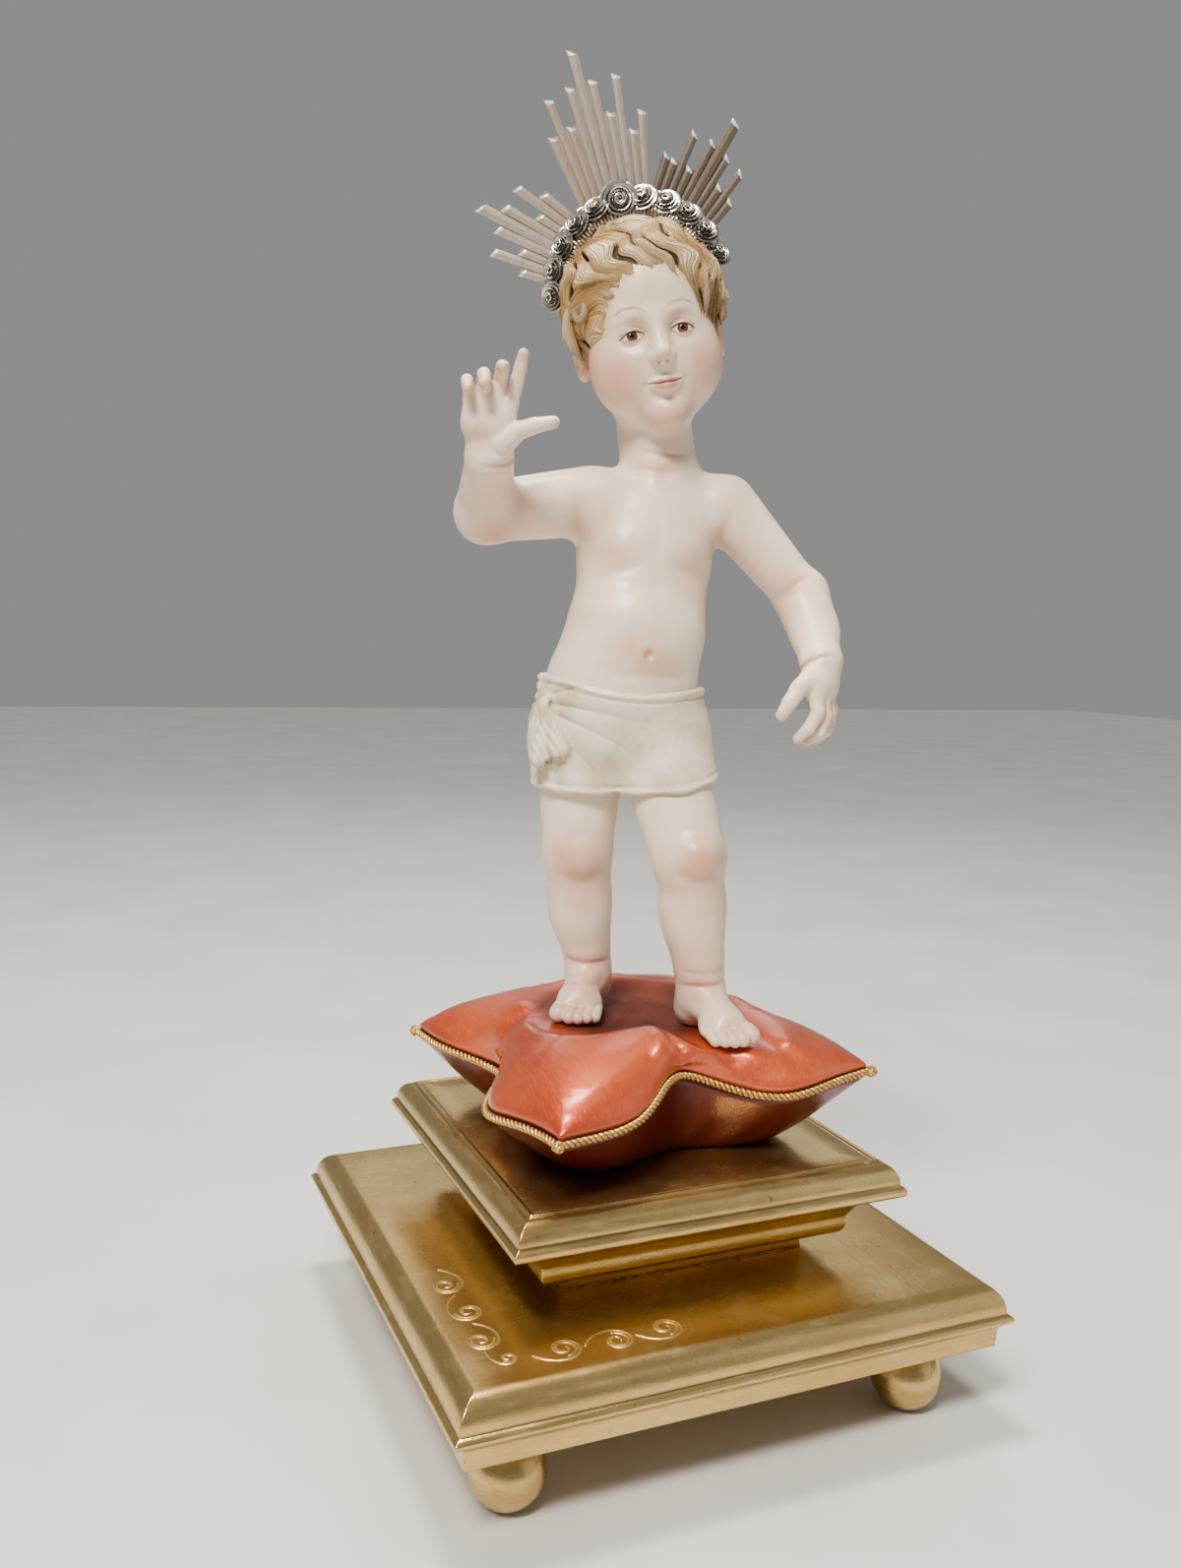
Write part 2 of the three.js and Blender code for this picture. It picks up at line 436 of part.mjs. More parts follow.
// ---------------------------------------------------------------- closed mesh of a distance field
// Surface nets on a regular grid. Corners that would leave an edge or a vertex shared by two
// sheets are pushed across first, so the mesh is always one clean surface.
function netMesh(f, lo, hi, h) {
  const n = [0, 1, 2].map((i) => Math.ceil((hi[i] - lo[i]) / h) + 1), [nx, ny, nz] = n;
  const at = (i, j, k) => i + nx * (j + ny * k);
  const val = new Float64Array(nx * ny * nz);
  for (let k = 0; k < nz; k++)
    for (let j = 0; j < ny; j++)
      for (let i = 0; i < nx; i++) {
        const edge = i === 0 || j === 0 || k === 0 || i === nx - 1 || j === ny - 1 || k === nz - 1;
        let v = f(lo[0] + i * h, lo[1] + j * h, lo[2] + k * h);
        if (edge) v = Math.max(v, 0.05 * h);
        if (Math.abs(v) < 0.04 * h) v = v < 0 ? -0.04 * h : 0.04 * h;
        val[at(i, j, k)] = v;
      }
  const C = [0, 1, nx, nx + 1, nx * ny, nx * ny + 1, nx * ny + nx, nx * ny + nx + 1];
  const E = [[0, 1], [2, 3], [4, 5], [6, 7], [0, 2], [1, 3], [4, 6], [5, 7], [0, 4], [1, 5], [2, 6], [3, 7]];
  const F = [[0, 1, 3, 2], [4, 5, 7, 6], [0, 1, 5, 4], [2, 3, 7, 6], [0, 2, 6, 4], [1, 3, 7, 5]];
  const good = new Uint8Array(256);
  for (let m = 0; m < 256; m++) {
    let ok = 1;
    for (const q of F) {
      const s = q.map((c) => (m >> c) & 1);
      if (s[0] === s[2] && s[1] === s[3] && s[0] !== s[1]) ok = 0;
    }
    for (const want of [0, 1]) {
      const seen = new Set();
      const first = [...Array(8).keys()].find((c) => ((m >> c) & 1) === want);
      if (first === undefined) continue;
      const todo = [first];
      while (todo.length) {
        const c = todo.pop();
        if (seen.has(c)) continue;
        seen.add(c);
        for (const [a, b] of E) {
          if (a === c && ((m >> b) & 1) === want) todo.push(b);
          if (b === c && ((m >> a) & 1) === want) todo.push(a);
        }
      }
      if ([...Array(8).keys()].filter((c) => ((m >> c) & 1) === want).length !== seen.size) ok = 0;
    }
    good[m] = ok;
  }
  const mask = (o) => {
    let m = 0;
    for (let c = 0; c < 8; c++) if (val[o + C[c]] < 0) m |= 1 << c;
    return m;
  };
  for (let pass = 0, bad = 1; bad && pass < 60; pass++) {
    bad = 0;
    for (let k = 0; k + 1 < nz; k++)
      for (let j = 0; j + 1 < ny; j++)
        for (let i = 0; i + 1 < nx; i++) {
          const o = at(i, j, k), m = mask(o);
          if (m === 0 || m === 255 || good[m]) continue;
          bad++;
          let best = -1;
          for (let c = 0; c < 8; c++)
            if (val[o + C[c]] > 0 && (best < 0 || val[o + C[c]] < val[o + C[best]])) best = c;
          val[o + C[best]] = -0.1 * h;
        }
  }
  const pts = [], faces = [], id = new Int32Array(val.length).fill(-1);
  for (let k = 0; k + 1 < nz; k++)
    for (let j = 0; j + 1 < ny; j++)
      for (let i = 0; i + 1 < nx; i++) {
        const o = at(i, j, k), m = mask(o);
        if (m === 0 || m === 255) continue;
        let x = 0, y = 0, z = 0, c = 0;
        for (const [a, b] of E) {
          const va = val[o + C[a]], vb = val[o + C[b]];
          if (va < 0 === vb < 0) continue;
          const t = va / (va - vb);
          x += (a & 1) + t * ((b & 1) - (a & 1));
          y += ((a >> 1) & 1) + t * (((b >> 1) & 1) - ((a >> 1) & 1));
          z += ((a >> 2) & 1) + t * (((b >> 2) & 1) - ((a >> 2) & 1));
          c++;
        }
        id[o] = pts.length / 3;
        pts.push(lo[0] + (i + x / c) * h, lo[1] + (j + y / c) * h, lo[2] + (k + z / c) * h);
      }
  const S = [1, nx, nx * ny];
  const quad = (a, b, c, d) => {
    // split along the shorter diagonal
    const q = [a, b, c, d].map((v) => pts.slice(3 * v, 3 * v + 3));
    const l = (u, w) => (u[0] - w[0]) ** 2 + (u[1] - w[1]) ** 2 + (u[2] - w[2]) ** 2;
    if (l(q[0], q[2]) <= l(q[1], q[3])) faces.push(a, b, c, a, c, d);
    else faces.push(a, b, d, b, c, d);
  };
  for (let k = 0; k + 1 < nz; k++)
    for (let j = 0; j + 1 < ny; j++)
      for (let i = 0; i + 1 < nx; i++) {
        const o = at(i, j, k), ijk = [i, j, k];
        for (let ax = 0; ax < 3; ax++) {
          const u = S[(ax + 1) % 3], w = S[(ax + 2) % 3];
          if (ijk[(ax + 1) % 3] === 0 || ijk[(ax + 2) % 3] === 0) continue;
          const s0 = val[o] < 0, s1 = val[o + S[ax]] < 0;
          if (s0 === s1) continue;
          const q = [id[o - u - w], id[o - w], id[o], id[o - u]];
          if (s0) quad(...q);
          else quad(q[3], q[2], q[1], q[0]);
        }
      }
  return geometryOf(pts, faces);
}

const BODY_CELL = 9, HEAD_CELL = 7.4, HAND_CELL = 3.7;
// Vertices closer than a hair's breadth are welded, and faces that shrink to nothing go.
function tidy(g, near = 0.03) {
  const m = mergeVertices(g, near), ix = m.index.array, seen = new Map();
  for (let i = 0; i < ix.length; i += 3) {
    const t = [ix[i], ix[i + 1], ix[i + 2]];
    if (t[0] === t[1] || t[1] === t[2] || t[2] === t[0]) continue;
    const key = [...t].sort((a, b) => a - b).join();
    const s = [[0, 1, 2], [1, 2, 0], [2, 0, 1]].some(([a, b, c]) => t[a] < t[b] && t[b] < t[c]);
    if (!seen.has(key)) seen.set(key, []);
    const other = seen.get(key), back = other.findIndex((o) => o.s !== s);
    if (back >= 0) other.splice(back, 1);
    else other.push({ s, t });
  }
  return geometryOf(Array.from(m.attributes.position.array), [...seen.values()].flat().flatMap((o) => o.t));
}
// The biggest shell alone: loose crumbs and sealed bubbles left by a cut are dropped.
function largest(solid, weld = true) {
  const g = toGeometry(solid), p = g.attributes.position, ix = g.index.array;
  const n = ix.length / 3, root = new Int32Array(n).map((_, i) => i), edge = new Map();
  const find = (a) => {
    while (root[a] !== a) a = root[a] = root[root[a]];
    return a;
  };
  // faces joined across an edge belong to one shell; an edge shared by more than two parts nothing
  for (let i = 0; i < ix.length; i++) {
    const a = ix[i], b = ix[3 * Math.floor(i / 3) + ((i + 1) % 3)], key = Math.min(a, b) * p.count + Math.max(a, b);
    if (edge.has(key)) root[find(Math.floor(i / 3))] = find(edge.get(key));
    else edge.set(key, Math.floor(i / 3));
  }
  const volume = new Map(), at = (i) => V(p.getX(i), p.getY(i), p.getZ(i));
  for (let f = 0; f < n; f++)
    volume.set(find(f), (volume.get(find(f)) ?? 0) + at(ix[3 * f]).dot(at(ix[3 * f + 1]).cross(at(ix[3 * f + 2]))) / 6);
  const best = [...volume.keys()].reduce((a, b) => (volume.get(a) > volume.get(b) ? a : b));
  const keep = [];
  for (let f = 0; f < n; f++) if (find(f) === best) keep.push(ix[3 * f], ix[3 * f + 1], ix[3 * f + 2]);
  const shell = geometryOf(Array.from(p.array), keep);
  return weld ? largest(toSolid(tidy(shell)), false) : toSolid(shell);
}
function figureSolid() {
  const trunk = toSolid(netMesh((x, y, z) => (z < 506 ? figureD(x, y, z) : Math.max(figureD(x, y, z), z - 506)), [-112, -86, 184], [112, 60, 516], BODY_CELL));
  const top = toSolid(netMesh((x, y, z) => Math.max(figureD(x, y, z), 497 - z, ), [-66, -66, 488], [56, 66, 632], HEAD_CELL));
  const rHand = toSolid(netMesh((x, y, z) => smin(fold(handR)(x, y, z), cone(J.elbowR, J.wristR, 14, 11)(x, y, z) + Math.max(0, 482 - z) * 2, 2), [-112, -72, 470], [-50, -18, 544], HAND_CELL));
  const lHand = toSolid(netMesh((x, y, z) => smin(fold(handL)(x, y, z), cone(J.elbowL, J.wristL, 14, 10)(x, y, z) + Math.max(0, z - 398) * 2, 2), [52, -66, 340], [108, -18, 408], HAND_CELL));
  return largest(trunk.add(top).add(rHand).add(lHand));
}

// ---------------------------------------------------------------- diadem
// A half hoop wreathed with roses, standing over the hair in the plane of the ears, with rays.
const HOOP = { r: 42, y: 9, z: 16.5, tube: 4.2, roll: -4.5 }, ROSES = 9, ROSE_R = 7.2;
const hoopAt = (a, out = 0) => [ // a: 0 at the top, + towards its left
  Math.sin(a) * (HOOP.r + out), HOOP.y, HOOP.z + Math.cos(a) * (HOOP.r + out),
];
// Rays stand side by side as one fluted plate a group, in lengths from the hoop outwards.
const RAYS = { thick: 2.6, fan: 24, arc: 47, y: 1.4, from: 44 };
const RAY_GROUPS = [
  { mid: -50, lengths: [20, 36, 22, 37, 50, 38, 21, 38, 26] },
  { mid: -1, lengths: [44, 60, 44, 61, 77, 61, 45, 62, 36, 45] },
  { mid: 44, lengths: [26, 24, 40, 23, 40, 54, 38, 24, 37, 23] },
];
function rayPlate({ mid, lengths }) {
  const rad = THREE.MathUtils.degToRad, n = lengths.length, R = RAYS.from;
  const edge = (i, l) => {
    const f = i / n - 0.5, a = rad(RAYS.arc * f), d = rad(RAYS.fan * f);
    return new THREE.Vector2(R * Math.sin(a) + l * Math.sin(d), R * Math.cos(a) + l * Math.cos(d));
  };
  const clean = [];
  for (let i = 3; i >= 0; i--) clean.push(edge((i / 3) * n, 0.2));
  for (let i = 0; i < n; i++) {
    clean.push(edge(i + 0.06, lengths[i]), edge(i + 0.94, lengths[i]));
    if (i + 1 < n) clean.push(edge(i + 1, Math.min(lengths[i], lengths[i + 1]) - 6));
  }
  const g = new THREE.ExtrudeGeometry(new THREE.Shape(clean.reverse()), { depth: RAYS.thick, bevelEnabled: false });
  g.translate(0, 0, -RAYS.thick / 2);
  g.rotateX(Math.PI / 2);
  g.rotateY(rad(mid));
  g.translate(0, HOOP.y + RAYS.y, HOOP.z);
  return g;
}
function hoopGeometry(tube) {
  const steps = 16, sides = 6, span = THREE.MathUtils.degToRad(84), pts = [], faces = [];
  for (let i = 0; i <= steps; i++) {
    const a = -span + (2 * span * i) / steps, c = hoopAt(a);
    for (let k = 0; k < sides; k++) {
      const t = (2 * Math.PI * (k + 0.5)) / sides, r = tube * Math.cos(t), w = 1.1 * tube * Math.sin(t);
      pts.push(c[0] + Math.sin(a) * r, c[1] + w, c[2] + Math.cos(a) * r);
    }
  }
  for (let i = 0; i < steps; i++)
    for (let k = 0; k < sides; k++) {
      const a = i * sides + k, b = i * sides + ((k + 1) % sides), c = b + sides, d = a + sides;
      faces.push(a, c, b, a, d, c);
    }
  for (let k = 1; k + 1 < sides; k++) {
    faces.push(0, k, k + 1);
    const e = steps * sides;
    faces.push(e, e + k + 1, e + k);
  }
  return geometryOf(pts, faces);
}
function roseGeometry(i, grow) {
  const a = -THREE.MathUtils.degToRad(78) + (THREE.MathUtils.degToRad(156) * i) / (ROSES - 1);
  const c = hoopAt(a, 3.2), r = ROSE_R * (i === (ROSES - 1) / 2 ? 1.2 : 1);
  const g = new THREE.SphereGeometry(1, 7, 3);
  g.rotateX(Math.PI / 2);
  g.scale(r + grow, r * 0.78 + grow, r + grow);
  g.rotateY(a + 0.13);
  g.translate(c[0], c[1] - 1.53, c[2]);
  return g;
}
function diademSolid() {
  let s = toSolid(hoopGeometry(HOOP.tube));
  for (let i = 0; i < ROSES; i++) s = s.add(toSolid(roseGeometry(i, 0)));
  for (const g of RAY_GROUPS) s = s.add(toSolid(rayPlate(g)));
  return s;
}
function diademSeat() {
  let s = toSolid(hoopGeometry(HOOP.tube + GAP * 1.3));
  for (let i = 0; i < ROSES; i++) s = s.add(toSolid(roseGeometry(i, GAP * 1.3)));
  for (const g of RAY_GROUPS) {
    const r = toSolid(rayPlate({ mid: g.mid, lengths: g.lengths.map(() => 9) }));
    for (const d of [GAP, -GAP]) s = s.add(r.translate([0, d, 0]));
  }
  return s;
}

// ---------------------------------------------------------------- assembly
const paint = (hex, roughness, metalness) => new THREE.MeshStandardMaterial({ color: hex, roughness, metalness });
const gilt = paint(0xc39a4c, 0.38, 0.9), red = paint(0xa63a1f, 0.22, 0), cordGold = paint(0xcaa45c, 0.45, 0.8);
const skin = paint(0xeadfd2, 0.4, 0), silver = paint(0xb9b4ac, 0.3, 1);
const part = new THREE.Group();
const mesh = (name, geometry, material, parent = part) => {
  const m = new THREE.Mesh(geometry, material);
  m.name = name;
  parent.add(m);
  return m;
};

mesh("lower_plinth", mitredBlock(lowerRings), gilt);
mesh("neck_block", mitredBlock(neckRings), gilt);
mesh("upper_plinth", mitredBlock(upperRings), gilt);
[["front_left", -1, -1], ["front_right", 1, -1], ["back_right", 1, 1], ["back_left", -1, 1]].forEach(([n, x, y]) => {
  mesh("ball_foot_" + n, ballFoot(), gilt).position.set(x * FOOT_AT, y * FOOT_AT, 0);
});

const diademPlace = (s) => {
  const m = headTurn.elements; // column-major 3x3
  return s.translate([0, 0, -HOOP.z]).rotate([0, HOOP.roll, 0]).translate([0, 0, HOOP.z]).transform([m[0], m[1], m[2], 0, m[3], m[4], m[5], 0, m[6], m[7], m[8], 0, ...HEAD_AT, 1]);
};
const diadem = largest(diademPlace(diademSolid()));
let figure = figureSolid();
figure = largest(figure.subtract(diademPlace(diademSeat())));

const cushionFrame = new THREE.Group();
cushionFrame.rotation.z = CUSHION_TURN;
part.add(cushionFrame);
mesh("cushion", cushionGeometry(), red, cushionFrame);
mesh("cushion_cord", cordGeometry(), cordGold, cushionFrame);

const figureFrame = new THREE.Group();
figureFrame.rotation.z = FIGURE_TURN;
part.add(figureFrame);
mesh("figure", toGeometry(figure), skin, figureFrame);
mesh("diadem", toGeometry(diadem), silver, figureFrame);

export default part;
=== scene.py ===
# A carved, painted and gilded devotional child figure standing on a red lacquered cushion,
# under a silver ray diadem, on a stepped gilt plinth with ball feet. Metres, row frame.
import math
import bpy
import numpy as np
from mathutils import Matrix


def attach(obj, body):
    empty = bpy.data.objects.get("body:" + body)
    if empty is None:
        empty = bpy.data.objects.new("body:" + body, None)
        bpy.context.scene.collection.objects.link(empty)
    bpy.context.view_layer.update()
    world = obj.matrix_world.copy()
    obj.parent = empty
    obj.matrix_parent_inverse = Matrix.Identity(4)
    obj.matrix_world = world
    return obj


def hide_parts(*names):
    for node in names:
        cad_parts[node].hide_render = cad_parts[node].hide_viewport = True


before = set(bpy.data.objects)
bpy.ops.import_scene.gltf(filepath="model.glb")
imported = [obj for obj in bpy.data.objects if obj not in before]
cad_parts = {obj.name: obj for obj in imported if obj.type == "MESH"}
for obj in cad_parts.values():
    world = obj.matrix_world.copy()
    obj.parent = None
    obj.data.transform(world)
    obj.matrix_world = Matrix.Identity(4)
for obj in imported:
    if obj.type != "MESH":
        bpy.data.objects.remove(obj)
for name in ("Cube", "Light", "Camera"):
    if name in bpy.data.objects:
        bpy.data.objects.remove(bpy.data.objects[name])


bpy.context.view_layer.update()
RNG = np.random.default_rng(7)
rad = math.radians

# ------------------------------------------------------------------ camera, light, floor
right = (0.917355, -0.397107, 0.027672)
up = (0.019535, 0.114341, 0.993249)
back = (-0.397590, -0.910622, 0.112649)
cam_data = bpy.data.cameras.new("camera")
cam_data.sensor_fit = "AUTO"
cam_data.sensor_width = 36.0
cam_data.lens = 30.07
cam_data.clip_start, cam_data.clip_end = 0.01, 20.0
cam = bpy.data.objects.new("camera", cam_data)
cam.matrix_world = Matrix((
    (right[0], up[0], back[0], -0.31128986),
    (right[1], up[1], back[1], -0.64271650),
    (right[2], up[2], back[2], 0.40120243),
    (0, 0, 0, 1)))
bpy.context.scene.collection.objects.link(cam)
bpy.context.scene.camera = cam


def area_light(name, at, aim, size, power, colour):
    data = bpy.data.lights.new(name, "AREA")
    data.shape = "RECTANGLE"
    data.size, data.size_y = size
    data.energy = power
    data.color = colour
    ob = bpy.data.objects.new(name, data)
    a, b = np.array(at, float), np.array(aim, float)
    z = (a - b) / np.linalg.norm(a - b)
    x = np.cross([0, 0, 1], z)
    x /= np.linalg.norm(x)
    y = np.cross(z, x)
    m = Matrix.Identity(4)
    for i in range(3):
        m[i][0], m[i][1], m[i][2], m[i][3] = x[i], y[i], z[i], a[i]
    ob.matrix_world = m
    bpy.context.scene.collection.objects.link(ob)
    return ob


area_light("key", (-0.95, -1.15, 2.05), (0, 0, 0.34), (0.42, 0.42), 45, (1.0, 0.95, 0.89))
area_light("top", (-0.10, 0.16, 1.75), (0, 0, 0.2), (0.42, 0.24), 20, (1.0, 0.94, 0.86))
area_light("fill", (1.5, -1.3, 0.9), (0, 0, 0.3), (1.6, 1.6), 3.5, (0.92, 0.95, 1.0))
area_light("rim", (0.7, 1.6, 1.5), (0, 0, 0.4), (1.2, 1.2), 5, (1.0, 0.97, 0.92))
sun_data = bpy.data.lights.new("sky_key", "SUN")
sun_data.energy, sun_data.angle, sun_data.color = 1.05, rad(14), (1.0, 0.96, 0.92)
sun = bpy.data.objects.new("sky_key", sun_data)
sun.rotation_euler = (rad(42), rad(-8), rad(-48))
bpy.context.scene.collection.objects.link(sun)
world = bpy.data.worlds.new("studio")
world.use_nodes = True
world.node_tree.nodes["Background"].inputs[0].default_value = (0.86, 0.86, 0.87, 1)
world.node_tree.nodes["Background"].inputs[1].default_value = 0.30
bpy.context.scene.world = world


# ------------------------------------------------------------------ node helper
def lin(r, g, b):
    def f(c):
        c /= 255.0
        return c / 12.92 if c <= 0.04045 else ((c + 0.055) / 1.055) ** 2.4
    return (f(r), f(g), f(b), 1.0)


class Mat:
    """A node material: small calls that make nodes and give back sockets."""

    def __init__(self, name):
        self.mat = bpy.data.materials.new(name)
        self.mat.use_nodes = True
        self.t = self.mat.node_tree
        self.bsdf = self.t.nodes["Principled BSDF"]
        self.co = self.node("ShaderNodeTexCoord").outputs["Object"]

    def node(self, kind, ins=None, **props):
        n = self.t.nodes.new(kind)
        for k, v in props.items():
            setattr(n, k, v)
        for k, v in (ins or {}).items():
            self.put(n.inputs[k], v)
        return n

    def put(self, socket, v):
        if isinstance(v, bpy.types.NodeSocket):
            self.t.links.new(v, socket)
        elif isinstance(v, (int, float)) and hasattr(socket.default_value, "__len__"):
            socket.default_value = [v] * len(socket.default_value)
        else:
            socket.default_value = v

    def m(self, op, a, b=None, c=None, clamp=False):
        n = self.t.nodes.new("ShaderNodeMath")
        n.operation = op
        n.use_clamp = clamp
        for i, v in enumerate((a, b, c)):
            if v is not None:
                self.put(n.inputs[i], v)
        return n.outputs[0]

    def add(self, *a):
        out = a[0]
        for b in a[1:]:
            out = self.m("ADD", out, b)
        return out

    def mul(self, *a):
        out = a[0]
        for b in a[1:]:
            out = self.m("MULTIPLY", out, b)
        return out

    def step(self, v, lo, hi, a=0.0, b=1.0):
        n = self.node("ShaderNodeMapRange", {0: v, 1: lo, 2: hi, 3: a, 4: b}, interpolation_type="SMOOTHSTEP")
        return n.outputs[0]

    def bump(self, height, distance, strength=1.0, normal=None):
        n = self.node("ShaderNodeBump", {"Height": height})
        n.inputs["Distance"].default_value = distance
        n.inputs["Strength"].default_value = strength
        if normal is not None:
            self.put(n.inputs["Normal"], normal)
        return n.outputs[0]

    def mix(self, f, a, b, blend="MIX"):
        n = self.t.nodes.new("ShaderNodeMix")
        n.data_type = "RGBA"
        n.blend_type = blend
        for i, v in ((0, f), (6, a), (7, b)):
            self.put(n.inputs[i], v)
        return n.outputs[2]

    def noise(self, scale, detail=3.0, rough=0.5, vec=None, dist=0.0):
        n = self.node("ShaderNodeTexNoise", {"Vector": vec or self.co, "Scale": scale, "Detail": detail,
                                             "Roughness": rough, "Distortion": dist})
        return n.outputs[0]

    def stretch(self, scale, turn=(0, 0, 0), vec=None):
        n = self.node("ShaderNodeMapping", {"Vector": vec or self.co})
        n.inputs["Scale"].default_value = scale
        n.inputs["Rotation"].default_value = turn
        return n.outputs[0]

    def xyz(self, vec=None):
        return self.node("ShaderNodeSeparateXYZ", {0: vec or self.co}).outputs

    def attr(self, name):
        return self.node("ShaderNodeAttribute", attribute_name=name)

    def set(self, **ins):
        names = {"color": "Base Color", "rough": "Roughness", "metal": "Metallic", "coat": "Coat Weight",
                 "coat_rough": "Coat Roughness", "normal": "Normal", "coat_normal": "Coat Normal",
                 "spec": "Specular IOR Level", "sheen": "Sheen Weight", "ior": "IOR",
                 "sheen_rough": "Sheen Roughness", "coat_tint": "Coat Tint"}
        for k, v in ins.items():
            self.put(self.bsdf.inputs[names[k]], v)
        return self.mat


# ------------------------------------------------------------------ mesh helper
def turned(P, deg):
    a = rad(deg)
    P = np.asarray(P, float)
    out = P.copy()
    out[:, 0] = P[:, 0] * math.cos(a) - P[:, 1] * math.sin(a)
    out[:, 1] = P[:, 0] * math.sin(a) + P[:, 1] * math.cos(a)
    return out


def make(name, P, faces, mat, slot, stands_for, normals=None, attrs=None, turn=0.0, flat=False):
    """A mesh piece from millimetre points in a frame turned about Z, and arrays of faces."""
    P = turned(P, turn)
    if not isinstance(faces, (list, tuple)):
        faces = [faces]
    faces = [np.asarray(f, np.int64) for f in faces if len(f)]
    me = bpy.data.meshes.new(name)
    me.vertices.add(len(P))
    me.vertices.foreach_set("co", (P * 0.001).astype(np.float32).ravel())
    loops = np.concatenate([f.ravel() for f in faces])
    sizes = np.concatenate([np.full(len(f), f.shape[1]) for f in faces])
    starts = np.concatenate([[0], np.cumsum(sizes)[:-1]])
    me.loops.add(len(loops))
    me.loops.foreach_set("vertex_index", loops.astype(np.int32))
    me.polygons.add(len(sizes))
    me.polygons.foreach_set("loop_start", starts.astype(np.int32))
    me.polygons.foreach_set("use_smooth", np.full(len(sizes), not flat))
    me.update(calc_edges=True)
    for key, value in (attrs or {}).items():
        value = np.asarray(value, np.float32)
        if value.ndim == 1:
            me.attributes.new(key, "FLOAT", "POINT").data.foreach_set("value", value)
        else:
            me.attributes.new(key, "FLOAT_VECTOR", "POINT").data.foreach_set("vector", value.ravel())
    if normals is not None:
        me.normals_split_custom_set_from_vertices(turned(normals, turn).astype(np.float32))
    me.materials.append(mat)
    ob = bpy.data.objects.new(name, me)
    bpy.context.scene.collection.objects.link(ob)
    tris = int((sizes - 2).sum())
    print("PIECE", name, tris)
    PIECES.append((ob, slot, stands_for, tris))
    return ob


PIECES = []


def grid_faces(rows, cols, wrap_cols=False, wrap_rows=False):
    r = np.arange(rows if wrap_rows else rows - 1)
    c = np.arange(cols if wrap_cols else cols - 1)
    R, C = np.meshgrid(r, c, indexing="ij")
    R2, C2 = (R + 1) % rows, (C + 1) % cols
    return np.stack([R * cols + C, R * cols + C2, R2 * cols + C2, R2 * cols + C], -1).reshape(-1, 4)


def tube(path, radius, sides, closed=False, squash=1.0):
    """Points and quads of a tube along a path (n, 3); radius a number or (n,) array."""
    path = np.asarray(path, float)
    n = len(path)
    if closed:
        t = np.roll(path, -1, 0) - np.roll(path, 1, 0)
    else:
        t = np.gradient(path, axis=0)
    t /= np.linalg.norm(t, axis=1)[:, None]
    u = np.zeros_like(t)
    v0 = np.cross(t[0], [0, 0, 1.0])
    if np.linalg.norm(v0) < 0.1:
        v0 = np.cross(t[0], [1.0, 0, 0])
    u[0] = v0 / np.linalg.norm(v0)
    for i in range(1, n):
        w = u[i - 1] - t[i] * np.dot(u[i - 1], t[i])
        u[i] = w / np.linalg.norm(w)
    v = np.cross(t, u)
    a = np.arange(sides) * 2 * math.pi / sides
    r = np.broadcast_to(np.asarray(radius, float), (n,))[:, None, None]
    P = path[:, None] + r * (np.cos(a)[None, :, None] * u[:, None] + squash * np.sin(a)[None, :, None] * v[:, None])
    return P.reshape(-1, 3), grid_faces(n, sides, True, closed)


def merged(parts):
    Ps, Fs, k = [], [], 0
    for P, F in parts:
        Ps.append(P)
        Fs.append(np.asarray(F) + k)
        k += len(P)
    P = np.concatenate(Ps)
    by = {}
    for F in Fs:
        by.setdefault(F.shape[1], []).append(F)
    return P, [np.concatenate(v) for v in by.values()]


def smoothstep(x, a, b):
    t = np.clip((x - a) / (b - a), 0, 1)
    return t * t * (3 - 2 * t)


# ------------------------------------------------------------------ distance fields
def smin(a, b, k):
    h = np.maximum(k - np.abs(a - b), 0) / k
    return np.minimum(a, b) - h * h * k / 4


def smax(a, b, k):
    return -smin(-a, -b, k)


def cone(a, b, ra, rb):
    a, b = np.array(a, float), np.array(b, float)
    ba = b - a
    l2 = ba @ ba
    rr = ra - rb
    a2, il2 = l2 - rr * rr, 1 / l2

    def f(P):
        pa = P - a
        y = pa @ ba
        z = y - l2
        w = pa * l2 - y[:, None] * ba
        x2 = np.einsum("ij,ij->i", w, w)
        y2, z2 = y * y * l2, z * z * l2
        k = np.sign(rr) * rr * rr * x2
        out = (np.sqrt(x2 * a2 * il2) + y * rr) * il2 - ra
        hi = np.sign(z) * a2 * z2 > k
        lo = ~hi & (np.sign(y) * a2 * y2 < k)
        out[hi] = np.sqrt(x2[hi] + z2[hi]) * il2 - rb
        out[lo] = np.sqrt(x2[lo] + y2[lo]) * il2 - ra
        return out
    return f


def ell(c, r, turn=None):
    c, r = np.array(c, float), np.array(r, float)

    def f(P):
        p = P - c
        if turn is not None:
            p = p @ turn
        q = p / r
        k0 = np.sqrt(np.einsum("ij,ij->i", q, q))
        s = q / r
        k1 = np.sqrt(np.einsum("ij,ij->i", s, s))
        return np.where(k1 < 1e-9, -r.min(), k0 * (k0 - 1) / np.maximum(k1, 1e-9))
    return f


def gauss(c, r, amp, turn=None):
    c, r = np.array(c, float), np.broadcast_to(np.array(r, float), (3,))

    def f(P):
        p = P - c
        if turn is not None:
            p = p @ turn
        q = p / r
        return amp * np.exp(-np.einsum("ij,ij->i", q, q))
    f.at, f.reach = c, 2.6 * float(r.max())
    return f


